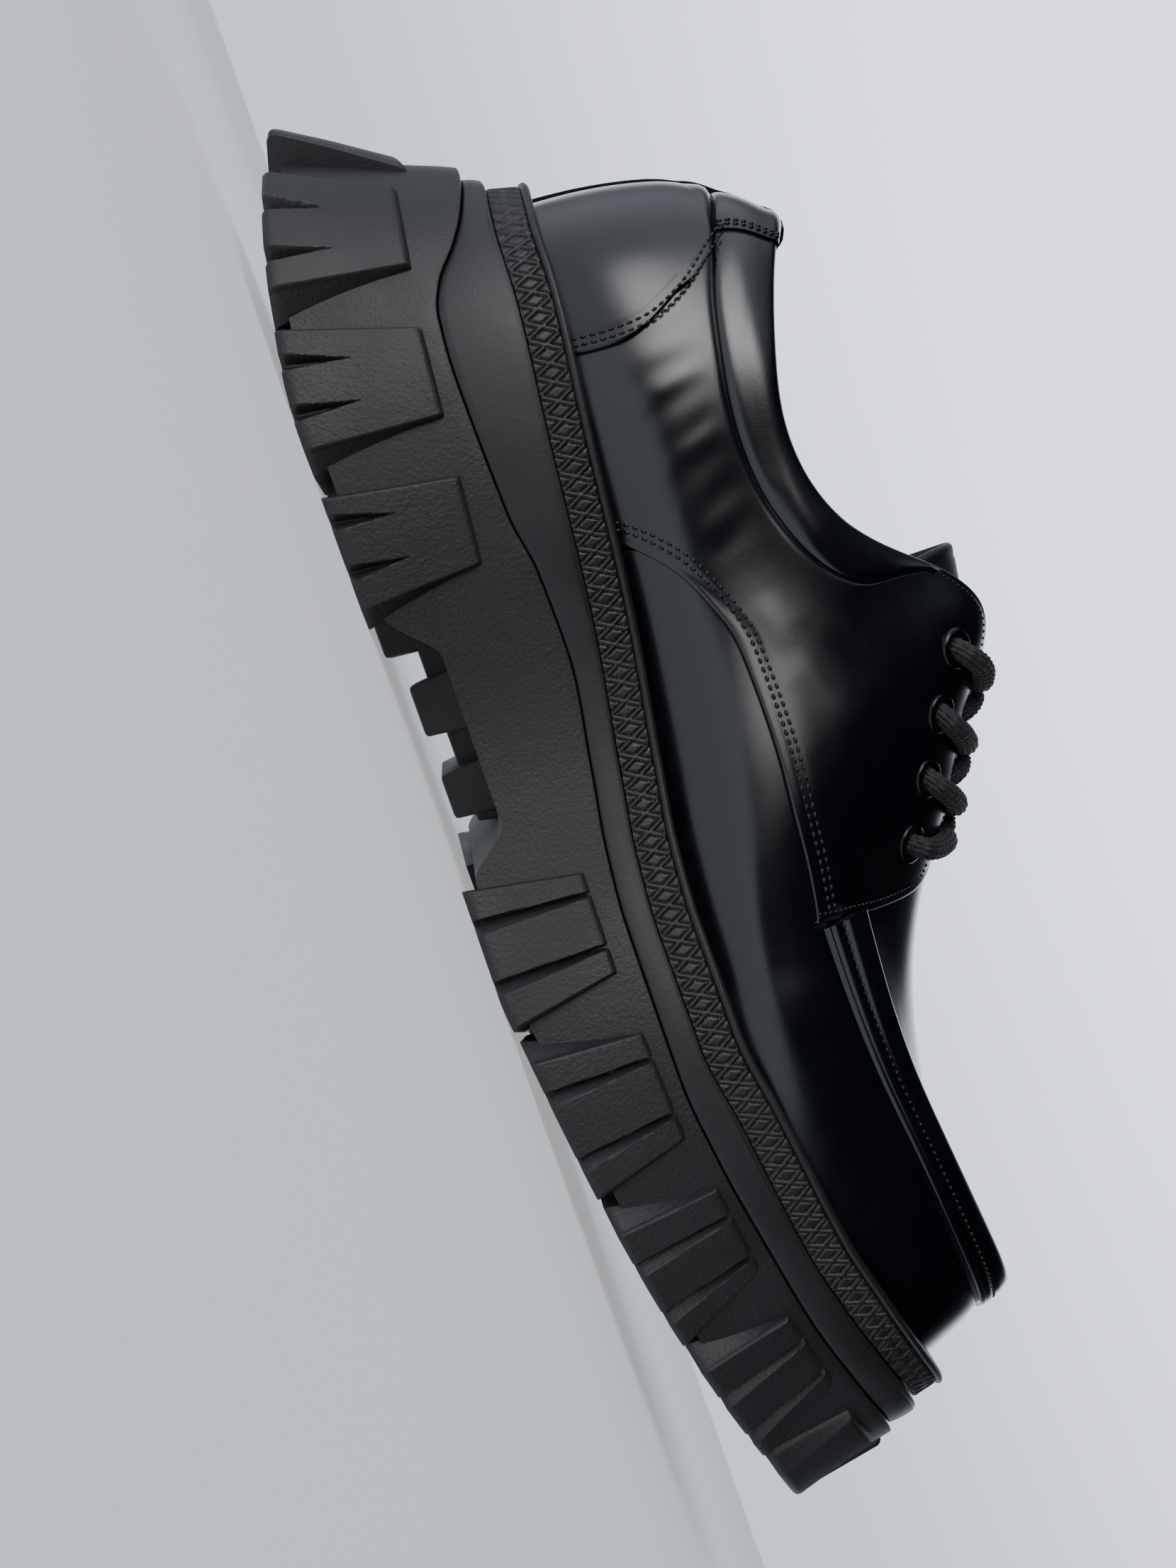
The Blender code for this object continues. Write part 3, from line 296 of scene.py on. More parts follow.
def closed_outline(points):
    """Even points along a smooth closed curve through the given ones, with outward normals."""
    ring = np.array(points)
    wrapped = np.concatenate([ring[-OUTLINE_OVERLAP:], ring, ring[: OUTLINE_OVERLAP + 1]])
    length = run_along(wrapped)
    first, last = length[OUTLINE_OVERLAP], length[OUTLINE_OVERLAP + len(ring)]
    curve = smooth_through(wrapped, np.linspace(first, last, OUTLINE_COUNT, endpoint=False))
    along = unit(np.roll(curve, -1, axis=0) - np.roll(curve, 1, axis=0))
    # From the heel the outline runs along -Y first, so outward is to the right of it.
    return curve, np.stack([along[:, 1], -along[:, 0]], axis=1)


WELT_CURVE, WELT_NORMAL = closed_outline(WELT_OUTLINE)


def by_side(name):
    """A flare at each outline point, blended between its values at side, heel and toe."""
    side, heel, toe = FLARE[name]
    back, front = (np.clip(WELT_NORMAL[:, 0] * sign, 0, 1) ** 2 for sign in (-1, 1))
    return side + (heel - side) * back + (toe - side) * front


def offset_outline(offset):
    return WELT_CURVE + WELT_NORMAL * offset[:, None]


# A wall's offset depends on its height, and the height on its offset: rounds of working out both.
WALL_ROUNDS = 4


def wall_offset(height):
    """Offset of the outsole's side wall where its height is height(x), below the parting line."""
    top, slope = by_side("outsole_top"), by_side("outsole_slope")
    offset = top
    for _ in range(WALL_ROUNDS):
        x = offset_outline(offset)[:, 0]
        offset = top + slope * (parting_at(x) - height(x))
    return offset


def side_of(outline, outer):
    """Numbers of one side's points of a closed outline, from its rear end to its front end."""
    count = len(outline)
    numbers = (np.arange(count + 1) + int(np.argmin(outline[:, 0]))) % count
    front = int(np.argmax(outline[numbers, 0]))
    return numbers[front:][::-1] if outer else numbers[: front + 1]


def core_floor(x):
    """Height of the recessed tread between the lugs, with the arch."""
    arch = fade(x, ARCH_REAR, ARCH_REAR + ARCH_REAR_RAMP)
    arch = smooth(arch * fade(x, ARCH_FRONT, ARCH_FRONT - ARCH_FRONT_RAMP))
    return tread_at(x) + TREAD_DEPTH + (ARCH_HEIGHT - TREAD_DEPTH) * arch


def welt_top(x):
    return midsole_at(x) + WELT_HEIGHT - WELT_TOE_DROP * fade(x, WELT_TOE_START, WELT_TOE_END)


UPPER_CURVE = offset_outline(by_side("upper"))
UPPER_SIDES = [UPPER_CURVE[side_of(UPPER_CURVE, outer)] for outer in (False, True)]
UPPER_REAR = float(UPPER_CURVE[:, 0].min())
UPPER_FRONT = float(UPPER_CURVE[:, 0].max())


def upper_keys(at, outer):
    """The key lines' points of one section, on one side."""
    share = (at - UPPER_REAR) / (UPPER_FRONT - UPPER_REAR)
    inner_y, outer_y = (float(np.interp(at, *side.T)) for side in UPPER_SIDES)
    halves = (centre_at(at) - inner_y, outer_y - centre_at(at))
    if share <= 0 or share >= 1:
        halves = (0.0, 0.0)
    keys = []
    for line, keep in zip(KEY_LINES, OUTER_SHARE):
        if line is None:
            shift, ratio, height = 0.0, 1.0, welt_top(at) - FEATHER_DROP
        else:
            where, *columns = np.array(line).T
            shift, ratio, height = (spline(where, column, at) for column in columns)
        half = halves[0] * ratio
        across = half + (halves[1] - halves[0]) * keep if outer else -half
        keys.append((at + shift, centre_at(at + shift) + across, height))
    return np.array(keys, float)


def collar_roll(at, outer, share):
    """How far the padded collar bulges outward between its seam, share 0, and the topline, share 1."""
    back = fade(at, COLLAR_HEEL_FADE, UPPER_REAR) ** 1.5
    height = COLLAR_ROLL * fade(at, PAD_END_AT, PAD_END_AT - PAD_FADE)
    height = height * (COLLAR_SIDE_SHARE + (1 - COLLAR_SIDE_SHARE) * back)
    side = 1.0 if outer else -1.0
    roll = height * np.sin(math.pi * np.clip(share, 0, 1))
    return roll[:, None] * np.array([-back, side * (1.0 - back), 0.0])


# ---------------------------------------------------------------- the skin, sampled once

# The skin is a grid: stations along the upper, and places up each section. Place 0 is the feather
# line, 3 the flank, 4 the topline and 5 the crown; a share u from 0 to 1 says how far along.
STATIONS = 321
FINE = 20
PLACES = 5 * FINE + 1
TOPLINE = 4.0
CROWN_PLACE = 5.0


def section(at, outer):
    """Points up one side of a section, from the feather line through the key lines."""
    keys = upper_keys(at, outer)
    length = run_along(keys)
    where = np.interp(np.arange(PLACES) / FINE, range(len(keys)), length)
    mirrored = keys[-2::-1] * (1, -1, 1) + (0, 2 * keys[-1, 1], 0)
    points = smooth_through(np.concatenate([keys, mirrored]), where)
    return points + collar_roll(at, outer, (where - length[3]) / (length[4] - length[3]))


def station(at):
    """Share of the upper's length, 0 to 1, whose even steps crowd together at both ends."""
    share = np.clip((np.asarray(at, float) - UPPER_REAR) / (UPPER_FRONT - UPPER_REAR), 0, 1)
    return np.arccos(1 - 2 * share) / math.pi


def section_at(u):
    return UPPER_REAR + (UPPER_FRONT - UPPER_REAR) * (1 - np.cos(math.pi * u)) / 2


# The stations next to the toe's tip over which the two sides run into one another.
TOE_STATIONS = 9


def close_toe(inner, outer):
    """Bends the two sides' last stations into one smooth curve round the toe's tip."""
    first = -1 - TOE_STATIONS
    steps = 2 * TOE_STATIONS
    start, stop = inner[first].copy(), outer[first].copy()
    leave = (start - inner[first - 1]) * steps
    arrive = (outer[first - 1] - stop) * steps
    for number in range(TOE_STATIONS + 1):
        for side, t in ((inner, number / steps), (outer, 1 - number / steps)):
            bent = start + (stop - start) * smooth(t)
            side[first + number] = bent + leave * t * (1 - t) ** 2 - arrive * t * t * (1 - t)


def sample_skin():
    """Points and outward normals of the upper on an even grid, for the inner and the outer side."""
    ats = section_at(np.linspace(0, 1, STATIONS))
    points = [np.array([section(at, outer) for at in ats]) for outer in (False, True)]
    close_toe(*points)
    normals = []
    for side in (0, 1):
        own, other = points[side], points[1 - side]
        wrapped = np.concatenate([other[1:2], own, other[-2:-1]])
        along = wrapped[2:] - wrapped[:-2]
        beyond = np.concatenate([own, other[:, -2:-1]], axis=1)
        up = np.empty_like(own)
        up[:, 1:] = beyond[:, 2:] - beyond[:, :-2]
        up[:, 0] = own[:, 1] - own[:, 0]
        normals.append(unit(np.cross(up, along) if side else np.cross(along, up)))
        normals[side][-1, -1] = normals[side][-1, -2]
    return points, normals


SKIN_POINTS, SKIN_NORMALS = sample_skin()


def look_up(grids, u, place, outer):
    """Bilinear values of the sampled grid at shares u and places from 0 to 5."""
    u, place = np.broadcast_arrays(np.asarray(u, float), np.asarray(place, float))
    row = np.clip(u, 0, 1) * (STATIONS - 1)
    column = np.clip(place, 0, CROWN_PLACE) * FINE
    i = np.minimum(row.astype(int), STATIONS - 2)
    j = np.minimum(column.astype(int), PLACES - 2)
    a = (row - i)[..., None]
    b = (column - j)[..., None]
    grid = grids[outer]
    near = grid[i, j] * (1 - b) + grid[i, j + 1] * b
    far = grid[i + 1, j] * (1 - b) + grid[i + 1, j + 1] * b
    return near * (1 - a) + far * a


def normal_at(u, place, outer):
    return unit(look_up(SKIN_NORMALS, u, place, outer))


def on_skin(u, place, outer, lift=0.0):
    """Points at a distance outside the upper's surface, or inside it where lift is negative."""
    normal = normal_at(u, place, outer)
    return look_up(SKIN_POINTS, u, place, outer) + normal * np.asarray(lift, float)[..., None]


def smooth_line(line, count, extra=0.0):
    """Even points along a side-view line of (x, z), moved sideways to its right by extra."""
    line = np.array(line, float)
    curve = smooth_through(line, np.linspace(0, run_along(line)[-1], count))
    along = unit(np.gradient(curve, axis=0))
    return curve + np.stack([along[:, 1], -along[:, 0]], axis=1) * extra


# Places below which a side-view point is looked for, the step for measuring slopes by place, the
# rounds of coming closer, and the points of a traced line.
TRACE_PLACES = 4 * FINE + 9
TRACE_STEP = 0.05
TRACE_ROUNDS = 3
TRACE_SAMPLES = 160


def trace(curve, outer):
    """Shares and places at which the skin shows the given side-view points (x, z)."""
    grid = SKIN_POINTS[outer][:, :TRACE_PLACES, ::2]
    squares = [((grid - point) ** 2).sum(axis=-1) for point in curve]
    row, column = np.unravel_index([np.argmin(each) for each in squares], grid.shape[:2])
    u, place = row / (STATIONS - 1), column / FINE
    step = 1.0 / (STATIONS - 1)

    def seen(u, place):
        return look_up(SKIN_POINTS, u, place, outer)[:, ::2]

    def area(a, b):
        return a[:, 0] * b[:, 1] - a[:, 1] * b[:, 0]

    for _ in range(TRACE_ROUNDS):
        missing = curve - seen(u, place)
        by_u = (seen(u + step, place) - seen(u - step, place)) / (2 * step)
        by_place = seen(u, place + TRACE_STEP) - seen(u, place - TRACE_STEP)
        by_place = by_place / (2 * TRACE_STEP)
        whole = area(by_u, by_place)
        whole = np.where(np.abs(whole) < 1e-6, 1e-6, whole)
        more_u = np.clip(area(missing, by_place) / whole, -step, step)
        more_place = np.clip(area(by_u, missing) / whole, -2 * TRACE_STEP, 2 * TRACE_STEP)
        u = np.clip(u + more_u, 0, 1)
        place = np.clip(place + more_place, 0, CROWN_PLACE)
    return u, place


def traced(table, outer, count=TRACE_SAMPLES, extra=0.0):
    return trace(smooth_line(table, count, extra), outer)


# ---------------------------------------------------------------- lines of the upper, side view

# Cut edge's stitch line at the front of the quarter: x, z.
QUARTER_STITCH = (
    (90.6, 45.0), (92.0, 48.0), (96.0, 53.0), (102.0, 58.0), (110.0, 62.0), (117.0, 64.4),
    (123.0, 64.9), (133.0, 64.9), (142.0, 64.5), (152.5, 63.5), (160.5, 62.9), (171.0, 61.6),
)
# The facing's front edge, from its foot to the top corner.
FACING_FRONT = (
    (171.8, 58.6), (173.0, 62.5), (173.8, 66.0), (175.2, 70.6), (177.0, 78.9), (177.1, 83.1),
    (176.0, 86.3), (173.6, 89.0),
)
# The seam between the quarter and the padded collar.
COLLAR_SEAM = (
    (35.6, 89.9), (48.6, 83.0), (58.1, 79.2), (68.5, 76.5), (77.6, 75.0), (85.5, 74.7),
    (93.8, 75.5), (101.2, 77.5), (110.1, 82.0), (114.8, 86.7), (116.9, 90.9), (117.6, 97.6),
    (118.4, 103.4),
)
# The heel counter's stitch line, up to the collar's topline.
COUNTER_STITCH = (
    (58.0, 44.0), (59.2, 51.0), (60.0, 59.0), (59.5, 66.0), (57.0, 72.0), (53.0, 78.0),
    (49.4, 82.3), (47.5, 85.8), (47.2, 89.8), (50.0, 97.6),
)

COLLAR_LINES = [traced(COLLAR_SEAM, outer) for outer in (False, True)]


def seam_place(u, outer):
    """Place of the collar's seam at shares u, never above the topline."""
    seam_u, place = COLLAR_LINES[outer]
    return np.interp(u, seam_u, np.minimum(place, TOPLINE))


# How far the panels stand outside the upper's surface, and how their cut edges are rounded.
QUARTER_LIFT = 0.6
VAMP_LIFT = -0.5
COUNTER_LIFT = 1.8
PANEL_THICK = 1.9
EDGE_ROUND = 0.55
# Distances from a panel's edge at which its grid has a line.
EDGE_STEPS = (0.0, 0.12, 0.3, 0.6, 1.0, 1.5, 2.1, 2.8, 3.6)


# ---------------------------------------------------------------- mesh helpers


def world(points):
    return (np.asarray(points, float) - (CENTRE_SHIFT, WIDTH_SHIFT, 0.0)) * MM


def grid_faces(rows, columns, wrap_rows=False, wrap_columns=False):
    faces = []
    for r in range(rows if wrap_rows else rows - 1):
        low, high = r * columns, ((r + 1) % rows) * columns
        for c in range(columns if wrap_columns else columns - 1):
            beside = (c + 1) % columns
            faces.append((low + c, low + beside, high + beside, high + c))
    return faces


class Form:
    """Vertices and faces gathered for one mesh, in millimetres."""

    def __init__(self):
        self.points = []
        self.faces = []
        self.count = 0

    def add(self, points, faces):
        points = np.asarray(points, float).reshape(-1, 3)
        self.faces.extend([[v + self.count for v in face] for face in faces])
        self.points.append(points)
        self.count += len(points)

    def tube(self, points, round_rows):
        """A grid whose rows, or whose columns, close into a ring, with a face over each end."""
        points = np.asarray(points)
        self.add(points, grid_faces(*points.shape[:2], round_rows, not round_rows))
        for end in (0, -1):
            rim = points[:, end] if round_rows else points[end]
            self.add(rim, [tuple(range(len(rim)))])


def sweep(line, side, out, profile):
    """A form with one cross-section along a line, as distances to its side and outward."""
    profile = np.array(profile)
    form = Form()
    form.tube(line[:, None] + side * profile[:, :1] + out[:, None] * profile[:, 1:], False)
    return form


def circle(centre, side, up, radius, count):
    """Points round a centre in the plane of two ways, each at a radius of its own if it's a list."""
    turns = (2 * math.pi * np.arange(count) / count)[:, None]
    return centre + (side * np.cos(turns) + up * np.sin(turns)) * np.reshape(radius, (-1, 1))


def cap_faces(count):
    """Quads across a ring whose points run down one side and back up the other."""
    faces = []
    for k in range(count // 2):
        corners = (k, k + 1, (count - k - 1) % count, (count - k) % count)
        different = tuple(dict.fromkeys(corners))
        if len(different) > 2:
            faces.append(different)
    return faces


def make_piece(name, form, finish, nodes, sharp=38.0, outward=None, thick=0.0, merge=0.004):
    """An object from a form. An open sheet gives the way it faces, and its thickness inward."""
    mesh = bpy.data.meshes.new(name)
    mesh.from_pydata(world(np.concatenate(form.points)).tolist(), [], form.faces)
    bm = bmesh.new()
    bm.from_mesh(mesh)
    if outward is not None:
        bm.normal_update()
        faced = 0.0
        for face in bm.faces:
            faced += face.normal.dot(Vector(outward[face.verts[0].index])) * face.calc_area()
        if faced < 0:
            bmesh.ops.reverse_faces(bm, faces=bm.faces)
    bmesh.ops.remove_doubles(bm, verts=bm.verts, dist=merge * MM)
    bmesh.ops.dissolve_degenerate(bm, edges=bm.edges, dist=merge * MM / 4)
    if outward is None:
        bmesh.ops.recalc_face_normals(bm, faces=bm.faces)
    bm.to_mesh(mesh)
    bm.free()
    mesh.shade_smooth()
    mesh.set_sharp_from_angle(angle=math.radians(sharp))
    mesh.materials.append(finish)
    piece = bpy.data.objects.new(name, mesh)
    bpy.context.scene.collection.objects.link(piece)
    if thick:
        shell = piece.modifiers.new("thickness", "SOLIDIFY")
        shell.thickness = thick * MM
        shell.offset = -1.0
    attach(piece, "root")
    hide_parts(*nodes)
    return piece


# ---------------------------------------------------------------- materials


def fill_inputs(tree, node, inputs):
    """Sets a node's inputs, by name or number: each to a value, or to another node's output."""
    for name, value in inputs.items():
        if isinstance(value, bpy.types.NodeSocket):
            tree.links.new(value, node.inputs[name])
        else:
            node.inputs[name].default_value = value


def add_node(tree, kind, inputs, out, **settings):
    """One of a new node's outputs."""
    node = tree.nodes.new("ShaderNode" + kind)
    for name, value in settings.items():
        setattr(node, name, value)
    fill_inputs(tree, node, inputs)
    return node.outputs[out]


# The range of a noise texture over which a roughness changes.
NOISE_LOW, NOISE_HIGH = 0.3, 0.7


class Look:
    """A material, and the nodes that vary its shader over the surface."""

    def __init__(self, name, colour, roughness, specular=0.5):
        self.material = bpy.data.materials.new(name)
        self.material.use_nodes = True
        self.tree = self.material.node_tree
        self.where = add_node(self.tree, "TexCoord", {}, "Object")
        base = {"Base Color": (*colour, 1.0), "Roughness": roughness}
        self.shade({**base, "Specular IOR Level": specular})

    def shade(self, inputs):
        fill_inputs(self.tree, self.tree.nodes["Principled BSDF"], inputs)

    def texture(self, kind, scale, out="Fac", **more):
        return add_node(self.tree, "Tex" + kind, {"Vector": self.where, "Scale": scale, **more}, out)

    def noise(self, scale, detail=2.0, rough=0.5):
        return self.texture("Noise", scale, Detail=detail, Roughness=rough)

    def ramp(self, value, low, high):
        """A noise value turned into one from low to high."""
        inputs = {"Value": value, "From Min": NOISE_LOW, "From Max": NOISE_HIGH}
        return add_node(self.tree, "MapRange", {**inputs, "To Min": low, "To Max": high}, "Result")

    def bump(self, height, strength, distance, **below):
        inputs = {"Height": height, "Strength": strength, "Distance": distance * MM, **below}
        return add_node(self.tree, "Bump", inputs, "Normal")

    def tint(self, value, dark, light):
        inputs = {0: value, 6: (*dark, 1.0), 7: (*light, 1.0)}
        return add_node(self.tree, "Mix", inputs, 2, data_type="RGBA")


def leather(name, shine=0.3, grain=0.06, coat=0.8):
    """Polished smooth black leather: pores, a faint unevenness and a waxed coat."""
    # The base colour's blue cast is painted shade: a cool shadow tint put into the leather's colour.
    look = Look(name, (0.0012, 0.002, 0.004), shine)
    cells = look.texture("Voronoi", scale=1500.0, out="Distance")
    pores = look.bump(cells, strength=grain, distance=0.12)
    uneven = look.noise(scale=90.0, detail=3.0)
    patches = look.noise(scale=40.0)
    look.shade({"Normal": look.bump(uneven, strength=0.10, distance=0.5, Normal=pores)})
    look.shade({"Roughness": look.ramp(uneven, low=shine - 0.04, high=shine + 0.07)})
    # The patches are the leather's own uneven tone; their blue cast is painted shade tint.
    dark, light = (0.0010, 0.0016, 0.0034), (0.0016, 0.0026, 0.0052)
    look.shade({"Base Color": look.tint(patches, dark, light)})
    look.shade({"Coat Weight": coat, "Coat Roughness": 0.19})
    return look.material


def rubber(name, base, roughness, stipple, specular=0.5):
    """Moulded black rubber with a fine stippled surface, dustier in patches."""
    look = Look(name, base, roughness, specular)
    fine = look.noise(scale=1400.0, rough=0.6)
    broad = look.noise(scale=55.0, detail=3.0)
    look.shade({"Normal": look.bump(fine, strength=stipple, distance=0.25)})
    look.shade({"Roughness": look.ramp(broad, low=roughness - 0.05, high=roughness + 0.08)})
    look.shade({"Base Color": look.tint(broad, base, [1.5 * part for part in base])})
    return look.material


def cord_material():
    look = Look("lace_braid", (0.007, 0.007, 0.008), 0.62)
    fibres = look.noise(scale=3200.0, detail=1.0)
    dark, light = (0.004, 0.004, 0.005), (0.013, 0.013, 0.014)
    look.shade({"Normal": look.bump(fibres, strength=0.35, distance=0.1)})
    look.shade({"Base Color": look.tint(look.noise(scale=700.0), dark, light)})
    look.shade({"Sheen Weight": 0.25, "Sheen Roughness": 0.4})
    return look.material


def thread_material():
    look = Look("stitch_thread", (0.005, 0.005, 0.006), 0.36)
    twist = look.noise(scale=4000.0, detail=1.0)
    look.shade({"Normal": look.bump(twist, strength=0.3, distance=0.06)})
    return look.material


def metal_material():
    look = Look("black_enamel", (0.003, 0.003, 0.004), 0.14, specular=0.3)
    look.shade({"Roughness": look.ramp(look.noise(scale=500.0), low=0.1, high=0.2)})
    look.shade({"Coat Weight": 0.25, "Coat Roughness": 0.08})
    return look.material


def lining_material():
    look = Look("lining_cloth", (0.02, 0.02, 0.022), 0.8)
    weave = look.texture("Wave", scale=260.0, Distortion=0.6)
    dark, light = (0.014, 0.014, 0.016), (0.03, 0.03, 0.033)
    look.shade({"Normal": look.bump(weave, strength=0.25, distance=0.2)})
    look.shade({"Base Color": look.tint(look.noise(scale=60.0), dark, light)})
    return look.material


SMOOTH_LEATHER = leather("smooth_leather", 0.27)
COUNTER_LEATHER = leather("counter_leather", 0.26, coat=0.5)
COLLAR_LEATHER = leather("collar_leather", 0.3, 0.1)
TONGUE_LEATHER = leather("tongue_leather", 0.45, 0.15, coat=0.0)
SEAM_LEATHER = rubber("seam_leather", (0.010, 0.010, 0.012), 0.6, 0.2, specular=0.0)
TREAD_RUBBER = rubber("tread_rubber", (0.0125, 0.0125, 0.014), 0.5, 0.5)
MIDSOLE_RUBBER = rubber("midsole_satin_rubber", (0.014, 0.014, 0.0155), 0.46, 0.18)
WELT_RUBBER = rubber("welt_satin_rubber", (0.010, 0.010, 0.011), 0.44, 0.3)
THREAD = thread_material()
CORD = cord_material()
METAL = metal_material()
LINING = lining_material()


# ---------------------------------------------------------------- sole

# The sole's rings take every second point of the outline.
RING_STEP = 2


def sole_ring(offset, height, rise=0.0):
    """A ring at an offset from the welt outline, its height a rise above height(x)."""
    outline = offset_outline(offset)[::RING_STEP]
    return np.column_stack([outline, height(outline[:, 0]) + rise])


def rim(offset, height, rows):
    """Rings at rows of (distance inward from the offset, rise above the height)."""
    return [sole_ring(offset - inward, height, rise) for inward, rise in rows]


def slab(form, rings):
    count = len(rings[0])
    form.add(np.concatenate(rings), grid_faces(len(rings), count, wrap_columns=True))
    form.add(rings[0], cap_faces(count))
    form.add(rings[-1], cap_faces(count))


def between(low, high, share):
    return lambda x: low(x) + (high(x) - low(x)) * share


# The joint between outsole and midsole: its gap, and how far a tongue of the core fills a groove.
PARTING_GAP = 0.22
TONGUE_IN_GROOVE = 0.9
# Edges of the sole's layers: distance inward from the wall, rise.
CORE_RIM = ((0.0, -0.4), (0.1, -0.16), (0.4, 0.0), (4.0, 0.0), (5.0, TONGUE_IN_GROOVE))
MIDSOLE_LOW_RIM = ((6.0, 0.0), (0.5, 0.0), (0.12, 0.14), (0.0, 0.45))
MIDSOLE_TOP_RIM = ((0.0, -0.8), (0.25, -0.25), (0.9, 0.0), (6.0, 0.0))
INSOLE_LOW_RIM = ((6.0, 0.0), (0.0, 0.0))
INSOLE_TOP_RIM = ((0.0, -0.7), (0.25, -0.2), (0.9, 0.0), (8.0, -0.5))
# Levels up the core's wall, and shares of the midsole's height between its rims; how far its wall
# swells halfway up, and how far its top stays below the welt.
CORE_LEVELS = np.linspace(0, 1, 12)[:-1]
MIDSOLE_LEVELS = np.linspace(0.12, 0.86, 9)
MIDSOLE_SWELL = 0.25
MIDSOLE_SEAT = 0.1
# The insole: how far inside the upper it ends, and its foot and top above the midsole.
INSOLE_INSET = 3.1
INSOLE_SEAT = 0.15
INSOLE_TOP = 3.5


def outsole_top(x):
    return parting_at(x) - PARTING_GAP / 2


def make_sole_core(form):
    rings = []
    for share in CORE_LEVELS:
        height = between(core_floor, outsole_top, share)
        rings.append(sole_ring(wall_offset(height), height))
    slab(form, rings + rim(wall_offset(outsole_top), outsole_top, CORE_RIM))


def make_midsole():
    low, high = by_side("midsole_low"), by_side("midsole_high")

    def bottom(x):
        return parting_at(x) + PARTING_GAP / 2

    def top(x):
        return midsole_at(x) - MIDSOLE_SEAT

    form = Form()
    rings = rim(low, bottom, MIDSOLE_LOW_RIM)
    for share in MIDSOLE_LEVELS:
        swell = MIDSOLE_SWELL * math.sin(math.pi * share)
        rings.append(sole_ring(low + (high - low) * share + swell, between(bottom, top, share)))
    slab(form, rings + rim(high, top, MIDSOLE_TOP_RIM))
    make_piece("midsole_unit", form, MIDSOLE_RUBBER, ["midsole"])


def make_insole():
    form = Form()
    inset = by_side("upper") - INSOLE_INSET
    rings = rim(inset, lambda x: midsole_at(x) + INSOLE_SEAT, INSOLE_LOW_RIM)
    slab(form, rings + rim(inset, lambda x: midsole_at(x) + INSOLE_TOP, INSOLE_TOP_RIM))
    make_piece("foot_bed", form, LINING, ["insole"])


# The crosshatched band of the welt, in one cell's pitch, and the grid that shows it.
HATCH_PITCH = 3.42
HATCH_REACH = 0.95
RIB_HALF = 0.33
RIB_SLOPE = 0.3
GROOVE_AT = 0.46
GROOVE_HALF = 0.15
GROOVE_DEPTH = 0.42
PAD_DROP = 0.14
BAND_AROUND = 2600
BAND_LEVELS = 25
BAND_SHARE = 0.77
BAND_PROUD = 0.15
# Shares of the band's height: the plain margin at either edge, and where its bevels start.
BAND_MARGIN = 0.05
FOOT_BEVEL_AT, HEAD_BEVEL_AT = 0.08, 0.93
FOOT_BEVEL, HEAD_BEVEL = 0.25, 0.3
# The gaps under the welt and between its bore and the upper, and the bore's drop from the top.
WELT_SEAT, BORE_GAP, BORE_DROP = 0.05, 0.3, 0.5
# The pattern is shallower on the toe, from the first to the second x.
TOE_FADE = (272.0, 279.0)
TOE_SHALLOWER = 0.75
# The bead above the band: distance outward from the band's edge, share of the bead's height.
BEAD = (
    (-0.35, 0.03), (0.2, 0.1), (0.5, 0.28), (0.6, 0.5), (0.48, 0.72), (0.12, 0.9),
    (-0.45, 1.0), (-1.5, 0.93),
)


def make_welt():
    """The band with raised ribs round sunken diamonds, under a smooth bead."""
    sparse = np.linspace(0, 1, len(WELT_CURVE) + 1)
    dense = np.linspace(0, 1, BAND_AROUND, endpoint=False)

    def fill(values):
        """Values of the outline's points, at the band's finer steps."""
        return np.interp(dense, sparse, np.append(values, values[0]))

    curve, normal = (np.column_stack([fill(k) for k in each.T]) for each in (WELT_CURVE, WELT_NORMAL))
    normal = unit(normal)
    low, high, bore = (fill(by_side(name)) for name in ("welt_low", "welt_high", "upper"))
    seat = midsole_at(curve[:, 0]) + WELT_SEAT
    top = welt_top(curve[:, 0])
    band = (top - seat) * BAND_SHARE

    def ring(offset, height):
        return np.column_stack([curve + normal * offset[:, None], height])

    run = run_along(curve)
    total = run[-1] + np.linalg.norm(curve[0] - curve[-1])
    phase = run / total * round(total / HATCH_PITCH)
    across = HATCH_PITCH * band / np.hypot(band, HATCH_PITCH)
    shallower = 1 - TOE_SHALLOWER * fade(curve[:, 0], *TOE_FADE)
    rows = []
    for v in np.linspace(0, 1, BAND_LEVELS):
        slant = (v - 0.5) * HATCH_REACH
        ribs = [np.abs((phase + way * slant + 0.5) % 1.0 - 0.5) * across for way in (1, -1)]
        away = np.minimum(*ribs)
        sink = GROOVE_DEPTH * groove(away - GROOVE_AT, GROOVE_HALF)
        sink = (sink + PAD_DROP * fade(away, RIB_HALF, RIB_HALF + RIB_SLOPE)) * shallower
        sink = sink * fade(v, 0, BAND_MARGIN) * fade(v, 1, 1 - BAND_MARGIN)
        sink += FOOT_BEVEL * fade(v, FOOT_BEVEL_AT, 0) + HEAD_BEVEL * fade(v, HEAD_BEVEL_AT, 1)
        rows.append(ring(low + (high - low) * v * BAND_SHARE + BAND_PROUD - sink, seat + band * v))
    rim_offset = low + (high - low) * BAND_SHARE
    for out, share in BEAD:
        rows.append(ring(rim_offset + out, seat + band + (top - seat - band) * share))
    rows += [ring(bore + BORE_GAP, height) for height in (top - BORE_DROP, seat)]
    form = Form()
    form.add(np.concatenate(rows), grid_faces(len(rows), BAND_AROUND, True, True))
    make_piece("welt_band", form, WELT_RUBBER, ["welt"], sharp=50.0)


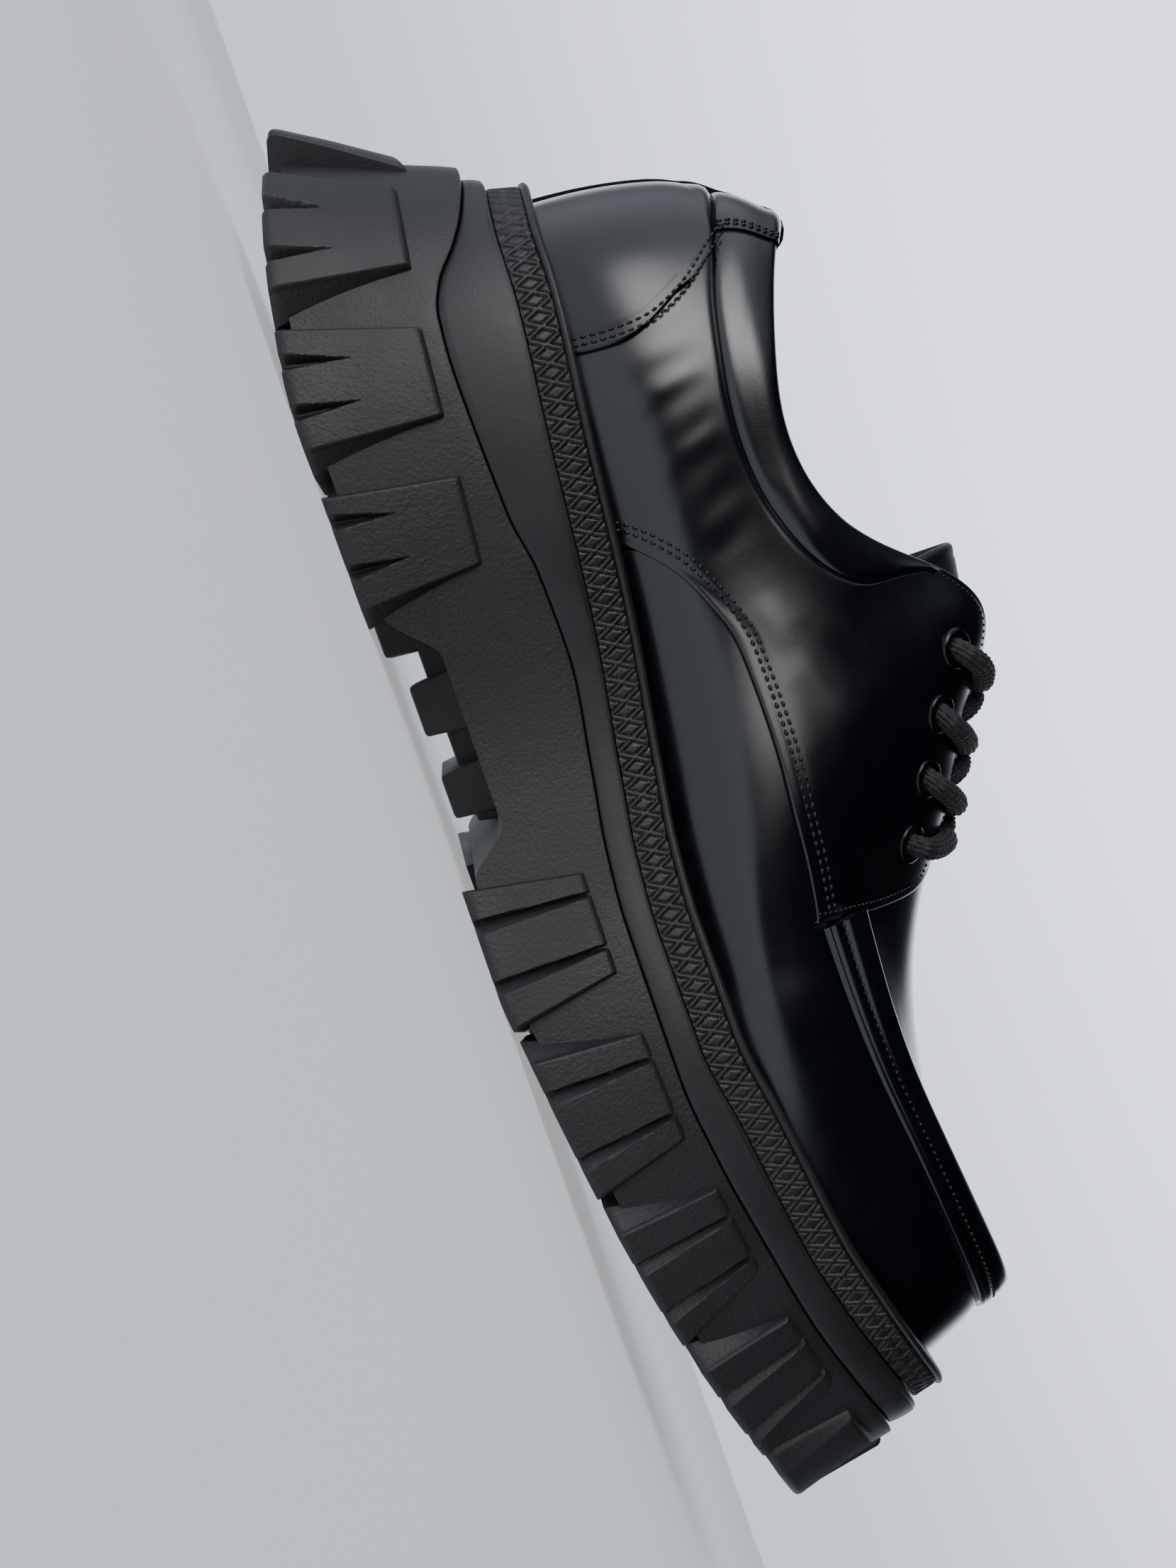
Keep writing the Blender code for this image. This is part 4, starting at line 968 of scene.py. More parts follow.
# Cuts in the side lugs: the share along the lug where each runs, at the tread and at the top.
BALL_CUTS = {
    "ball_1": ((0.27, 0.21), (0.70, 0.74)),
    "ball_2": ((0.27, 0.24), (0.74, 0.76)),
    "ball_3": ((0.31, 0.33), (0.73, 0.83)),
    "ball_4": ((0.34, 0.33), (0.76, 0.79)),
    "ball_5": (),
}
HEEL_CUTS = {
    "heel_a": ((0.30, 0.42), (0.72, 0.74)),
    "heel_b": ((0.27, 0.30), (0.68, 0.66)),
    "heel_c": ((0.22, 0.30), (0.66, 0.70)),
}
# A cut's width at the tread and at the top, its depth and its steep wall; a heel lug's cuts are
# notches that end at a share of the face's height.
BALL_CUT_LOW, BALL_CUT_TOP, BALL_CUT_DEPTH, BALL_CUT_WALL = 2.9, 1.5, 1.9, 0.35
HEEL_CUT_LOW, HEEL_CUT_REACH, HEEL_CUT_DEPTH = 3.2, 0.48, 2.2
# A lug's sloping end: how far it stands outside the lug's length at the tread, and inside it.
REAR_FLANKS = {"ball_2": (3.8, 0.0), "ball_3": (4.2, 0.0), "ball_4": (4.2, 0.0), "ball_5": (0.8, 4.6)}
FRONT_FLANKS = {"heel_a": (4.2, 0.0), "heel_b": (3.6, 0.0), "heel_c": (3.2, 0.0)}
FLANK_DEPTH = 2.5
FLANK_NARROWS = 0.7
LUG_COLUMNS = 72
LUG_EDGE = 0.7
PROUD_TOP = 1.5
PROUD_LOW = 3.0
LUG_REACH = 25.0
END_LUG_REACH = 15.0
END_LUG_COLUMNS = 64
# Finer steps of a lug's grid at its two ends, as shares of its length, and beside each cut.
END_MARKS = (0.0, 0.012, 0.03, 0.97, 0.988, 1.0)
CUT_MARKS = (-1.45, -1.1, -0.8, -0.4, 0.0, 0.4, 0.8, 1.1, 1.45)
# A notch's least half width, and how steep its sides are.
HEEL_CUT_LEAST, HEEL_CUT_STEEP = 0.05, 1.25
# Rows of a lug's underside, as distances inward; how far in a cut fades out there, and how high
# it stands for each millimetre of its depth.
TREAD_ROWS = (0.8, 2.4, 4.5, 9.0, 16.0, LUG_REACH)
END_TREAD_ROWS = (2.4, 6.0, END_LUG_REACH)
CUT_FADE, CUT_RISE = 6.0, 0.9
# Rows of its back, behind the top of its face: distance inward, rise.
LUG_BACK = ((LUG_PROUD * 2, -0.9), (PROUD_TOP + 0.7, 0.35))
END_LUG_BACK = ((5.0, -0.9), (2.6, 0.35))
# The heel's end lug slopes back below this share of its height, by this much for each share.
HEEL_FACET, HEEL_FACET_SLOPE = 0.45, 1.1


def wall_place(x, outer, proud, height):
    """Points of a lug's outer face at the given x values, with the way the wall faces there."""
    outline = offset_outline(wall_offset(height) + proud)
    side = side_of(outline, outer)
    along = np.maximum.accumulate(outline[side, 0])
    found = [np.interp(x, along, k) for k in (outline[side, 1], *WELT_NORMAL[side].T)]
    return np.column_stack([x, found[0]]), unit(np.column_stack(found[1:]))


def cut_depth(name, along, rise, length):
    """How deep a lug's face is cut at distances along it, at a share of its height."""
    depth = np.zeros_like(along)
    for low, _ in BALL_CUTS.get(name, ()):
        wide = BALL_CUT_LOW + (BALL_CUT_TOP - BALL_CUT_LOW) * rise
        away = along - low * length + wide / 2 - BALL_CUT_WALL
        slope = np.where(away < 0, 1 + away / BALL_CUT_WALL, 1 - away / (wide - BALL_CUT_WALL))
        depth = np.maximum(depth, BALL_CUT_DEPTH * np.clip(slope, 0, 1))
    for low, _ in HEEL_CUTS.get(name, ()):
        up = min(rise / HEEL_CUT_REACH, 1.0)
        half = max(HEEL_CUT_LOW * (1 - up) / 2, HEEL_CUT_LEAST)
        slope = HEEL_CUT_STEEP * (1 - np.abs(along - low * length) / half)
        depth = np.maximum(depth, HEEL_CUT_DEPTH * (1 - up**2) * np.clip(slope, 0, 1))
    return depth


def flank_depth(flank, beyond, rise):
    """How deep a sloping end lies below the face, at distances inward from the lug's own end."""
    outside, inside = flank
    inside = inside * (1 - FLANK_NARROWS * rise)
    if outside + inside == 0:
        return 0.0
    return FLANK_DEPTH * fade(beyond, inside, -outside)


def lug_end(distance):
    """How far a lug's face is rounded back at distances from its end."""
    return LUG_EDGE * fade(distance, LUG_EDGE, 0) ** 2


def lug_face(bevel, middle, foot):
    """Rows down a lug's face: share of its height, distance inside the face where it's bevelled."""
    rows = [(1.0, 0.75), (bevel[0], 0.25), (bevel[1], 0.0)]
    rows += [(rise, 0.0) for rise in middle]
    return rows + [(foot, 0.1), (0.02, 0.3), (0.0, 0.75)]


SIDE_FACE = lug_face((0.985, 0.96), np.linspace(0.93, 0.07, 22), 0.045)
END_FACE = lug_face((0.98, 0.95), np.linspace(0.9, 0.1, 12), 0.05)


def lifted(plan, z):
    return np.column_stack([plan, np.broadcast_to(z, len(plan))])


def add_lug(form, foot, head, facing, z_top, face, sunk, underside, back):
    """A lug from its face down to the tread, then inward to its root in the core, and its back."""
    low_z = tread_at(foot[:, 0])
    rows = []
    for rise, inset in face:
        plan = foot + (head - foot) * rise - facing * (inset + sunk(rise))[:, None]
        rows.append(lifted(plan, low_z + (z_top - low_z) * rise))
    for inward, rise in underside:
        plan = foot - facing * inward
        rows.append(lifted(plan, tread_at(plan[:, 0]) + rise))
    rows.append(lifted(plan, core_floor(plan[:, 0]) + LUG_ROOT))
    rows += [lifted(head - facing * inward, z_top + rise) for inward, rise in back]
    form.tube(rows, True)


def make_side_lug(form, lug, outer):
    """A block that wraps from the side wall onto the tread, bevelled, with its cuts."""
    name, low_rear, low_front, top_rear, top_front, z_rear, z_front = lug
    length = low_front - low_rear
    rear_flank = REAR_FLANKS.get(name, (0.0, 0.0))
    front_flank = FRONT_FLANKS.get(name, (0.0, 0.0))
    cuts = BALL_CUTS.get(name, HEEL_CUTS.get(name))
    near_cuts = [low + np.array(CUT_MARKS) / length for low, _ in cuts]
    outside = [-rear_flank[0] / length, 1 + front_flank[0] / length]
    even = np.linspace(*outside, LUG_COLUMNS)
    share = np.unique(np.round(np.concatenate([even, outside, END_MARKS, *near_cuts]), 4))
    lows, tops = np.array([(0.0, 0.0), *cuts, (1.0, 1.0)]).T
    share_top = np.interp(share, lows, tops)
    x_top = top_rear + (top_front - top_rear) * share_top
    z_top = z_rear + (z_front - z_rear) * share_top
    slope = (z_front - z_rear) / (top_front - top_rear)
    foot, _ = wall_place(low_rear + length * share, outer, PROUD_LOW, tread_at)
    head, facing = wall_place(x_top, outer, PROUD_TOP, lambda x: z_rear + slope * (x - top_rear))
    along = share * length
    end = lug_end(np.minimum(along, length - along))

    def sunk(rise):
        flanks = flank_depth(rear_flank, along, rise) + flank_depth(front_flank, length - along, rise)
        return cut_depth(name, along, rise, length) + flanks + end

    cut_low = CUT_RISE * cut_depth(name, along, 0.0, length)
    underside = []
    for inward in TREAD_ROWS:
        deep = np.maximum(inward, TREAD_ROWS[0] + sunk(0.0) + 0.01 * inward)[:, None]
        underside.append((deep, cut_low * fade(inward, CUT_FADE, 0)))
    add_lug(form, foot, head, facing, z_top, SIDE_FACE, sunk, underside, LUG_BACK)


def make_end_lug(form, end_name):
    """The lug round the rear end of the heel, or round the tip of the toe."""
    middle, span, z_top, proud_low, proud_top = END_LUGS[end_name]
    toe = end_name == "toe"
    share = np.linspace(-1, 1, END_LUG_COLUMNS)
    y = middle + span * share
    ends = []
    for height, proud in ((tread_at, proud_low), (lambda x: z_top + 0 * x, proud_top)):
        outline = offset_outline(wall_offset(height) + proud)
        keep = (outline[:, 0] > CENTRE_SHIFT) == toe
        order = np.argsort(outline[keep, 1])
        columns = np.column_stack([outline, WELT_NORMAL])[keep][order].T
        x, nx, ny = (np.interp(y, columns[1], columns[k]) for k in (0, 2, 3))
        ends.append((np.column_stack([x, y]), unit(np.column_stack([nx, ny]))))
    (foot, facing), (head, _) = ends
    end = lug_end((1 - np.abs(share)) * span)

    def sunk(rise):
        return end if toe else end + HEEL_FACET_SLOPE * max(HEEL_FACET - rise, 0.0)

    underside = [(inward, 0.0) for inward in END_TREAD_ROWS]
    add_lug(form, foot, head, facing, z_top, END_FACE, sunk, underside, END_LUG_BACK)


# A block of the tread: its rounded corners' radius and their quarter turns, as the side of the
# block along and across the shoe and the angle the turn starts at.
BLOCK_CORNER = 0.6
BLOCK_TURNS = ((-1, -1, 180), (1, -1, 270), (1, 1, 0), (-1, 1, 90))
# Its levels: distance inside the sides, height above the low face, None being the high face.
BLOCK_LEVELS = ((0.9, 0.0), (0.25, 0.2), (0.0, 0.7), (-BLOCK_DRAFT, None))


def add_block(form, rear, front, half, low, high):
    """A bevelled block across the middle of the tread, from one height to another."""
    middle_x = (rear + front) / 2
    middle_y = float(np.interp(middle_x, *np.array(CENTRE_LINE).T))
    rows = []
    for inset, rise in BLOCK_LEVELS:
        inside = inset + BLOCK_CORNER
        corners = []
        for side_x, side_y, start in BLOCK_TURNS:
            for turn in np.radians(np.linspace(start, start + 90, 5)):
                x = middle_x + side_x * ((front - rear) / 2 - inside) + BLOCK_CORNER * math.cos(turn)
                y = middle_y + side_y * (half - inside) + BLOCK_CORNER * math.sin(turn)
                corners.append((x, y, float(high(x) if rise is None else low(x) + rise)))
        rows.append(corners)
    form.tube(rows, False)


def make_centre_lug(form, rear, front, half):
    in_arch = ARCH_REAR + ARCH_REAR_RAMP < (rear + front) / 2 < ARCH_FRONT - ARCH_FRONT_RAMP
    lift = ARCH_BLOCK_LIFT if in_arch else 0.0
    low, high = (lambda x: tread_at(x) + lift), (lambda x: core_floor(x) + LUG_ROOT)
    add_block(form, rear, front, half, low, high)


def make_tread():
    form = Form()
    make_sole_core(form)
    for lug in LUGS:
        make_side_lug(form, lug, False)
        make_side_lug(form, lug, True)
    make_end_lug(form, "heel")
    make_end_lug(form, "toe")
    *web, rise = ARCH_WEB
    add_block(form, *web, lambda x: tread_at(x) + rise, lambda x: ARCH_HEIGHT + LUG_ROOT)
    for lug in CENTRE_LUGS:
        make_centre_lug(form, *lug)
    nodes = ["outsole"]
    make_piece("tread_unit", form, TREAD_RUBBER, nodes, sharp=32.0, merge=0.001)


# ---------------------------------------------------------------- upper


def near_edge(distance):
    """How far a leather edge's rounding drops the surface at a distance from the edge."""
    return EDGE_ROUND * (1 - np.sqrt(1 - fade(distance, EDGE_ROUND, 0) ** 2))


def steps_across(length, inner, high_edge=True):
    """Shares across a panel of that length, with fine steps near its edges."""
    low = np.array(EDGE_STEPS)
    high = length - low[::-1] if high_edge else np.array([length])
    middle = np.linspace(low[-1], high[0], inner + 2)[1:-1]
    return np.concatenate([low, middle, high]) / length


def distances(points, axis, from_end=False):
    """How far a grid's points are, along an axis, from its first edge or from its last."""
    steps = np.linalg.norm(np.diff(points, axis=axis), axis=2)
    run = np.insert(np.cumsum(steps, axis=axis), 0, 0.0, axis=axis)
    return run.max(axis=axis, keepdims=True) - run if from_end else run


CREASES = (
    # x, z of both ends, width, depth: soft troughs, and ridges where the depth is negative
    (62.0, 56.0, 61.5, 75.0, 2.2, 0.12), (69.0, 58.0, 66.5, 74.5, 2.4, 0.16),
    (76.5, 55.0, 72.0, 73.5, 2.2, 0.14), (82.0, 62.0, 77.5, 72.5, 2.0, 0.13),
    (89.5, 56.0, 83.5, 73.0, 2.6, 0.17), (96.0, 61.0, 90.0, 73.5, 2.2, 0.12),
    (104.0, 60.0, 97.0, 74.0, 2.6, 0.13), (73.0, 57.0, 69.3, 73.0, 1.8, -0.10),
    (86.0, 58.0, 80.5, 72.5, 1.9, -0.11), (100.0, 60.0, 93.5, 74.0, 2.1, -0.09),
    (118.0, 74.0, 138.0, 80.0, 3.0, 0.22), (122.0, 79.0, 141.0, 86.0, 2.6, 0.18),
    (128.0, 70.5, 146.0, 74.0, 3.2, 0.20), (112.0, 69.0, 124.0, 71.0, 2.8, -0.16),
    (132.0, 76.0, 150.0, 80.5, 2.6, -0.16), (141.0, 69.0, 158.0, 73.0, 3.0, 0.14),
)


def crease(points):
    """Soft wear creases of the quarter, as a change of lift."""
    change = np.zeros(points.shape[:-1])
    for x0, z0, x1, z1, width, depth in CREASES:
        way = np.array([x1 - x0, z1 - z0])
        offset = points[..., [0, 2]] - (x0, z0)
        along = np.clip((offset @ way) / (way @ way), 0, 1)
        away = np.linalg.norm(offset - along[..., None] * way, axis=-1)
        change -= depth * groove(away, width) * np.sin(math.pi * np.clip(along, 0.02, 0.98))
    return change


# The quarter's grid: its columns, its length, its lines between the edges, and how suddenly its
# last columns bend to the facing's edge. Its cut edge runs to the right of its stitches.
QUARTER_COLUMNS = 190
QUARTER_LENGTH = 190.0
QUARTER_LINES = 44
FACING_BEND = 14
FACING_SAMPLES = 60
QUARTER_EDGE = 2.5
# Its low edge is free of the welt above a place, and stops a share of the length short of the
# facing's foot; its surface is a little longer than straight across; and millimetres for each
# share and place along the facing's edge.
FREE_PLACE, FOOT_GAP = 0.02, 0.004
QUARTER_SLACK = 1.03
FACING_SCALE = (180.0, 9.0)
# Dips pressed by the stitches: where each row runs from the edge, its half width, its depth.
QUARTER_ROWS, ROW_WIDTH, ROW_DIP = (2.5, 3.7), 0.42, 0.16
FACING_ROW, THROAT_ROW, FACING_ROW_WIDTH, FACING_DIP = 1.7, 1.5, 0.45, 0.14
# The dip at the collar's seam: its half width and depth, on the quarter and on the counter.
QUARTER_SEAM_WIDTH, QUARTER_SEAM_DIP = 0.8, 0.6
COUNTER_SEAM_WIDTH, COUNTER_SEAM_DIP = 0.9, 1.2


def quarter_half(outer):
    """Points and normals of one side's quarter, heel column first."""
    low_u, low_place = traced(QUARTER_STITCH, outer, extra=QUARTER_EDGE)
    front = np.column_stack(traced(FACING_FRONT, outer, FACING_SAMPLES))
    foot, corner = front[0], np.array([front[-1, 0], TOPLINE])
    keep = low_u < foot[0] - FOOT_GAP
    low_u, low_place = np.append(low_u[keep], foot[0]), np.append(low_place[keep], foot[1])
    start = np.argmax(low_place > FREE_PLACE)
    low_u, low_place = low_u[start:], low_place[start:]
    t = np.linspace(0, 1, QUARTER_COLUMNS)
    tail = 1 - np.array(EDGE_STEPS)[::-1] / QUARTER_LENGTH
    t = np.unique(np.concatenate([t[t < tail[0]], tail]))
    u_low, u_high = t * foot[0], t * corner[0]
    on_top = u_high > COLLAR_LINES[outer][0][-1]
    place_low = np.interp(u_low, low_u, low_place, left=0.0)
    place_high = np.where(on_top, TOPLINE, seam_place(u_high, outer))
    ends = on_skin(u_low, place_low, outer) - on_skin(u_high, place_high, outer)
    length = np.linalg.norm(ends, axis=1) * QUARTER_SLACK
    w = np.array([steps_across(each, QUARTER_LINES) for each in length]).T
    # The front end follows the facing's own edge.
    chord = run_along(front * FACING_SCALE)
    bent = np.minimum(front, (1.0, TOPLINE)).T
    bent = np.column_stack([np.interp(w[:, -1], chord / chord[-1], k) for k in bent])
    bulge = bent - foot - (corner - foot) * w[:, -1:]
    u = u_low + (u_high - u_low) * w + bulge[:, :1] * t**FACING_BEND
    place = place_low + (place_high - place_low) * w + bulge[:, 1:] * t**FACING_BEND
    base = on_skin(u, place, outer)
    normal = normal_at(u, place, outer)
    from_low, from_high = distances(base, 0), distances(base, 0, True)
    from_front = distances(base, 1, True)
    lift = QUARTER_LIFT + crease(base) - near_edge(from_front)
    lift -= FACING_DIP * groove(from_front - FACING_ROW, FACING_ROW_WIDTH)
    cut_edge = near_edge(from_low)
    for row in QUARTER_ROWS:
        cut_edge += ROW_DIP * groove(from_low - row, ROW_WIDTH)
    lift -= np.where(u_low > low_u[0], cut_edge, 0.0)
    throat = near_edge(from_high) + FACING_DIP * groove(from_high - THROAT_ROW, FACING_ROW_WIDTH)
    seam = QUARTER_SEAM_DIP * groove(from_high, QUARTER_SEAM_WIDTH)
    lift -= np.where(on_top, throat, seam)
    return base + normal * lift[..., None], normal


def join(inner, outer):
    """Two halves' grids, which share their first column, as one wide grid."""
    return np.concatenate([inner[:, ::-1], outer[:, 1:]], axis=1)


def sheet_piece(name, make, finish, nodes, thick):
    """One panel over both sides. A point that isn't a number marks a place with no leather."""
    points, normals = (join(*halves) for halves in zip(make(False), make(True)))
    there = ~np.isnan(points[..., 0]).ravel()
    number = np.cumsum(there) - 1
    faces = [face for face in grid_faces(*points.shape[:2]) if all(there[v] for v in face)]
    form = Form()
    form.add(points.reshape(-1, 3)[there], number[np.array(faces)].tolist())
    outward = normals.reshape(-1, 3)[there]
    make_piece(name, form, finish, nodes, sharp=60.0, outward=outward, thick=thick)


# The vamp ends under the quarter, at a section; over the throat, behind the second one, it keeps
# only the places below the last number.
VAMP_REAR = 96.0
THROAT_AT = 175.0
VAMP_SIDE = 3.1
# The vamp sinks under the quarter between these sections.
VAMP_SINK = (184.0, 176.0)
VAMP_COLUMNS, VAMP_PLACES = 160, 84
VAMP_THICK = 1.2


def vamp_half(outer):
    """The vamp's side, toe and apron, first column at the toe's tip; it ends under the quarter."""
    start = station(VAMP_REAR)
    along = start + np.linspace(1, 0, VAMP_COLUMNS) * (1 - start)
    u, place = np.meshgrid(along, np.linspace(0, CROWN_PLACE, VAMP_PLACES))
    at = section_at(u)
    points = on_skin(u, place, outer, VAMP_LIFT * smooth(fade(at, *VAMP_SINK)))
    points[(at < THROAT_AT) & (place > VAMP_SIDE)] = np.nan
    return points, normal_at(u, place, outer)


# The padded collar's outer face: share of the way up from its seam, lift.
COLLAR_FACE = (
    (0.0, -0.5), (0.02, 0.1), (0.05, 0.4), (0.1, 0.68), (0.2, 0.95), (0.35, 1.15), (0.5, 1.2),
    (0.65, 1.1), (0.8, 0.9), (0.92, 0.75), (1.0, 0.7),
)
# Its inner face: how far down it comes, its rows as shares of that, how much thinner the padding
# is there than twice its radius, how far it swells, and how far inside the surface it ends.
COLLAR_INSIDE_SHARE = 0.9
COLLAR_INSIDE_ROWS = (0.2, 0.45, 0.7, 0.9)
COLLAR_THINNER, COLLAR_SWELL = 0.7, 0.5
COLLAR_INSIDE_END = -2.2
ROLL_STEPS = 11
# The places that show the way up at the topline, and the span of one place there.
UP_PLACE, SPAN_PLACE = 3.6, 3.0


def collar_profile(u, place_low, outer, radius, extra=0.0):
    """Loop of points round the padded collar at shares u: seam, outer face, roll, inner face."""
    radius = np.broadcast_to(radius, u.shape)
    top = on_skin(u, TOPLINE, outer)
    up = unit(top - on_skin(u, UP_PLACE, outer))
    place_high = TOPLINE - radius / np.linalg.norm(top - on_skin(u, SPAN_PLACE, outer), axis=1)
    reach = place_high - place_low
    loops = [on_skin(u, place_low + reach * w, outer, lift + extra) for w, lift in COLLAR_FACE]
    normal = normal_at(u, place_high, outer)
    roll = (radius + extra * 0.5)[:, None]
    middle = loops[-1] - normal * roll
    for turn in np.linspace(0, math.pi, ROLL_STEPS)[1:]:
        loops.append(middle + (normal * math.cos(turn) + up * math.sin(turn)) * roll)
    reach = reach * COLLAR_INSIDE_SHARE
    for w in COLLAR_INSIDE_ROWS:
        thick = 2 * radius - COLLAR_THINNER + COLLAR_SWELL * math.sin(math.pi * w)
        loops.append(on_skin(u, place_high - reach * w, outer, -thick))
    loops.append(on_skin(u, place_high - reach, outer, COLLAR_INSIDE_END))
    return np.array(loops)


def padded_piece(name, half, finish, nodes):
    """A padded roll round the topline, over both sides."""
    form = Form()
    form.tube(join(half(False), half(True)), True)
    piece = make_piece(name, form, finish, nodes, sharp=60.0)


# The collar's radius at the throat and toward the heel, and its least height in places for each
# millimetre of the radius.
THROAT_RADIUS = 1.0
COLLAR_RADIUS = 2.5
COLLAR_LEAST = 2.6 / 18.0
# How far past its seam's last point it runs, as a share of the upper's length; its columns; and how
# far ahead of the pad's end it narrows to the throat's radius.
COLLAR_PAST = 0.004
COLLAR_COLUMNS = 120
COLLAR_AHEAD = 3


def collar_half(outer):
    u = np.linspace(0, COLLAR_LINES[outer][0][-1] + COLLAR_PAST, COLLAR_COLUMNS)
    end = PAD_END_AT + COLLAR_AHEAD
    padding = fade(section_at(u), end, end - PAD_FADE)
    radius = THROAT_RADIUS + (COLLAR_RADIUS - THROAT_RADIUS) * padding
    place_low = np.minimum(seam_place(u, outer), TOPLINE - COLLAR_LEAST * radius)
    return collar_profile(u, place_low, outer, radius)


# The counter's edge runs to the right of its stitches; its top stays below the collar's seam.
COUNTER_EDGE = 1.3
COUNTER_GAP = 0.02
COUNTER_ROWS = (1.3, 2.6)
# Its grid: places up it before they are fitted under the seam, lines across it, and how much
# longer its surface is than straight across.
COUNTER_PLACES = (0.0, 0.06, *np.linspace(0.12, 3.22, 60))
COUNTER_LINES = 46
COUNTER_SLACK = 1.15
COUNTER_THICK = 1.5


def counter_half(outer):
    """The heel counter below the collar seam, whose line it follows up toward the heel."""
    line_u, line_place = traced(COUNTER_STITCH, outer, extra=COUNTER_EDGE)
    order = np.argsort(line_place)
    line = line_place[order], line_u[order]
    end_place = seam_place(np.interp(COUNTER_PLACES[-1], *line), outer) - COUNTER_GAP
    places = np.array(COUNTER_PLACES) / COUNTER_PLACES[-1] * end_place
    edge_u = np.interp(places, *line)
    chord = np.linalg.norm(on_skin(edge_u, places, outer) - on_skin(0.0, places, outer), axis=1)
    w = [steps_across(length, COUNTER_LINES, False) for length in chord * COUNTER_SLACK]
    w = 1 - np.array(w)[:, ::-1]
    u = edge_u[:, None] * w
    place = places[:, None] * (seam_place(u, outer) - COUNTER_GAP) / end_place
    base = on_skin(u, place, outer)
    normal = normal_at(u, place, outer)
    from_edge = distances(base, 1, True)
    lift = COUNTER_LIFT - near_edge(from_edge)
    lift -= COUNTER_SEAM_DIP * groove(distances(base, 0, True), COUNTER_SEAM_WIDTH)
    for row in COUNTER_ROWS:
        lift -= ROW_DIP * groove(from_edge - row, ROW_WIDTH)
    return base + normal * lift[..., None], normal


COLLAR_BACK_LIFT = 0.55
# The counter's upper end stops where its edge runs above this place.
COUNTER_TOP_PLACE = 3.25
COUNTER_TOP_COLUMNS = 44


def counter_top_end(outer):
    """The share at which the counter's upper end stops on the collar."""
    line_u, line_place = traced(COUNTER_STITCH, outer, extra=COUNTER_EDGE)
    return float(np.mean(line_u[line_place > COUNTER_TOP_PLACE]))


def counter_top(u, outer):
    """Loops of the counter's upper end, which goes on over the padded collar."""
    return collar_profile(u, seam_place(u, outer), outer, COLLAR_RADIUS, COLLAR_BACK_LIFT)


def counter_top_half(outer):
    return counter_top(np.linspace(0, counter_top_end(outer), COUNTER_TOP_COLUMNS), outer)


# The folded seam down the middle of the heel: one half of its cross-section as (across, out).
BACK_SEAM = (
    (0.0, 1.95), (0.75, 1.8), (1.05, 1.3), (1.2, 0.75), (1.5, 0.7), (2.1, 0.55), (2.5, 0.1),
    (2.6, -0.6),
)
# Its distance in places from the welt and, below the collar, from the collar's seam; its points on
# the counter; how many of the collar's points it leaves out at first and takes past the top; and
# which of its own it keeps.
BACK_SEAM_FOOT = 0.12
BACK_SEAM_POINTS = 40
BACK_SEAM_PAST = 4
BACK_SEAM_STEP = 4


def make_back_seam():
    """A raised folded strip up the back of the counter and over the collar."""
    places = np.linspace(BACK_SEAM_FOOT, seam_place(0.0, False) - BACK_SEAM_FOOT, BACK_SEAM_POINTS)
    low = on_skin(0.0, places, False, COUNTER_LIFT)
    loop = counter_top(np.zeros(1), False)[:, 0]
    last = int(np.argmax(loop[:, 2])) + BACK_SEAM_PAST
    line = np.concatenate([low, loop[BACK_SEAM_PAST:last]])
    line[:, 1] = line[0, 1]
    line = cord_points(line)[::BACK_SEAM_STEP]
    across = np.array([0.0, 1.0, 0.0])
    out = np.cross(across, unit(np.gradient(line, axis=0)))
    out *= -np.sign(out[0, 0])
    profile = [(-side, proud) for side, proud in BACK_SEAM[:0:-1]] + list(BACK_SEAM)
    form = sweep(line, across, out, profile)
    nodes = ["heel_counter", "upper"]
    make_piece("back_seam", form, SEAM_LEATHER, nodes, sharp=55.0)


# The apron's raised seam: the lip at its foot and its top edge, as heights along the sole.
RIDGE_LIP = (
    # s, height
    (171.5, 59.9), (199.0, 60.7), (220.0, 63.4), (242.0, 66.3), (266.0, 70.0),
)
RIDGE_TOP = (
    (169.4, 68.6), (202.4, 68.0), (222.5, 70.3), (246.0, 73.9), (262.8, 76.8),
)
# Its cross-section as a share of the way from lip to top, and the distance out from that way.
RIDGE_PROFILE = (
    # share, out
    (0.0, 0.2), (-0.05, 0.85), (0.0, 1.3), (0.06, 1.45), (0.1, 1.15), (0.14, 1.4), (0.25, 1.62),
    (0.33, 1.55), (0.37, 1.2), (0.41, 1.2), (0.45, 1.55), (0.6, 1.7), (0.8, 1.6), (0.93, 1.35),
    (1.0, 0.9), (1.03, 0.45), (1.0, 0.0), (0.85, -0.5), (0.6, -0.8), (0.3, -1.0), (0.0, -0.6),
)
# The section it starts at, and the share of its height and distance out of its stitches.
RIDGE_START = 172.5
RIDGE_STITCH = (0.39, 1.3)
RIDGE_COLUMNS = 180
# Places of the wall between which its foot is looked for; the upper one is the shoulder's.
WALL_PLACE, SHOULDER_PLACE = 0.8, 2.0
WALL_SAMPLES = 60


def bent_line(table, at):
    """Heights of a smooth line through the table's rows, held level beyond both ends."""
    where, height = np.array(table).T
    return spline(where, height, np.clip(at, where[0], where[-1]))


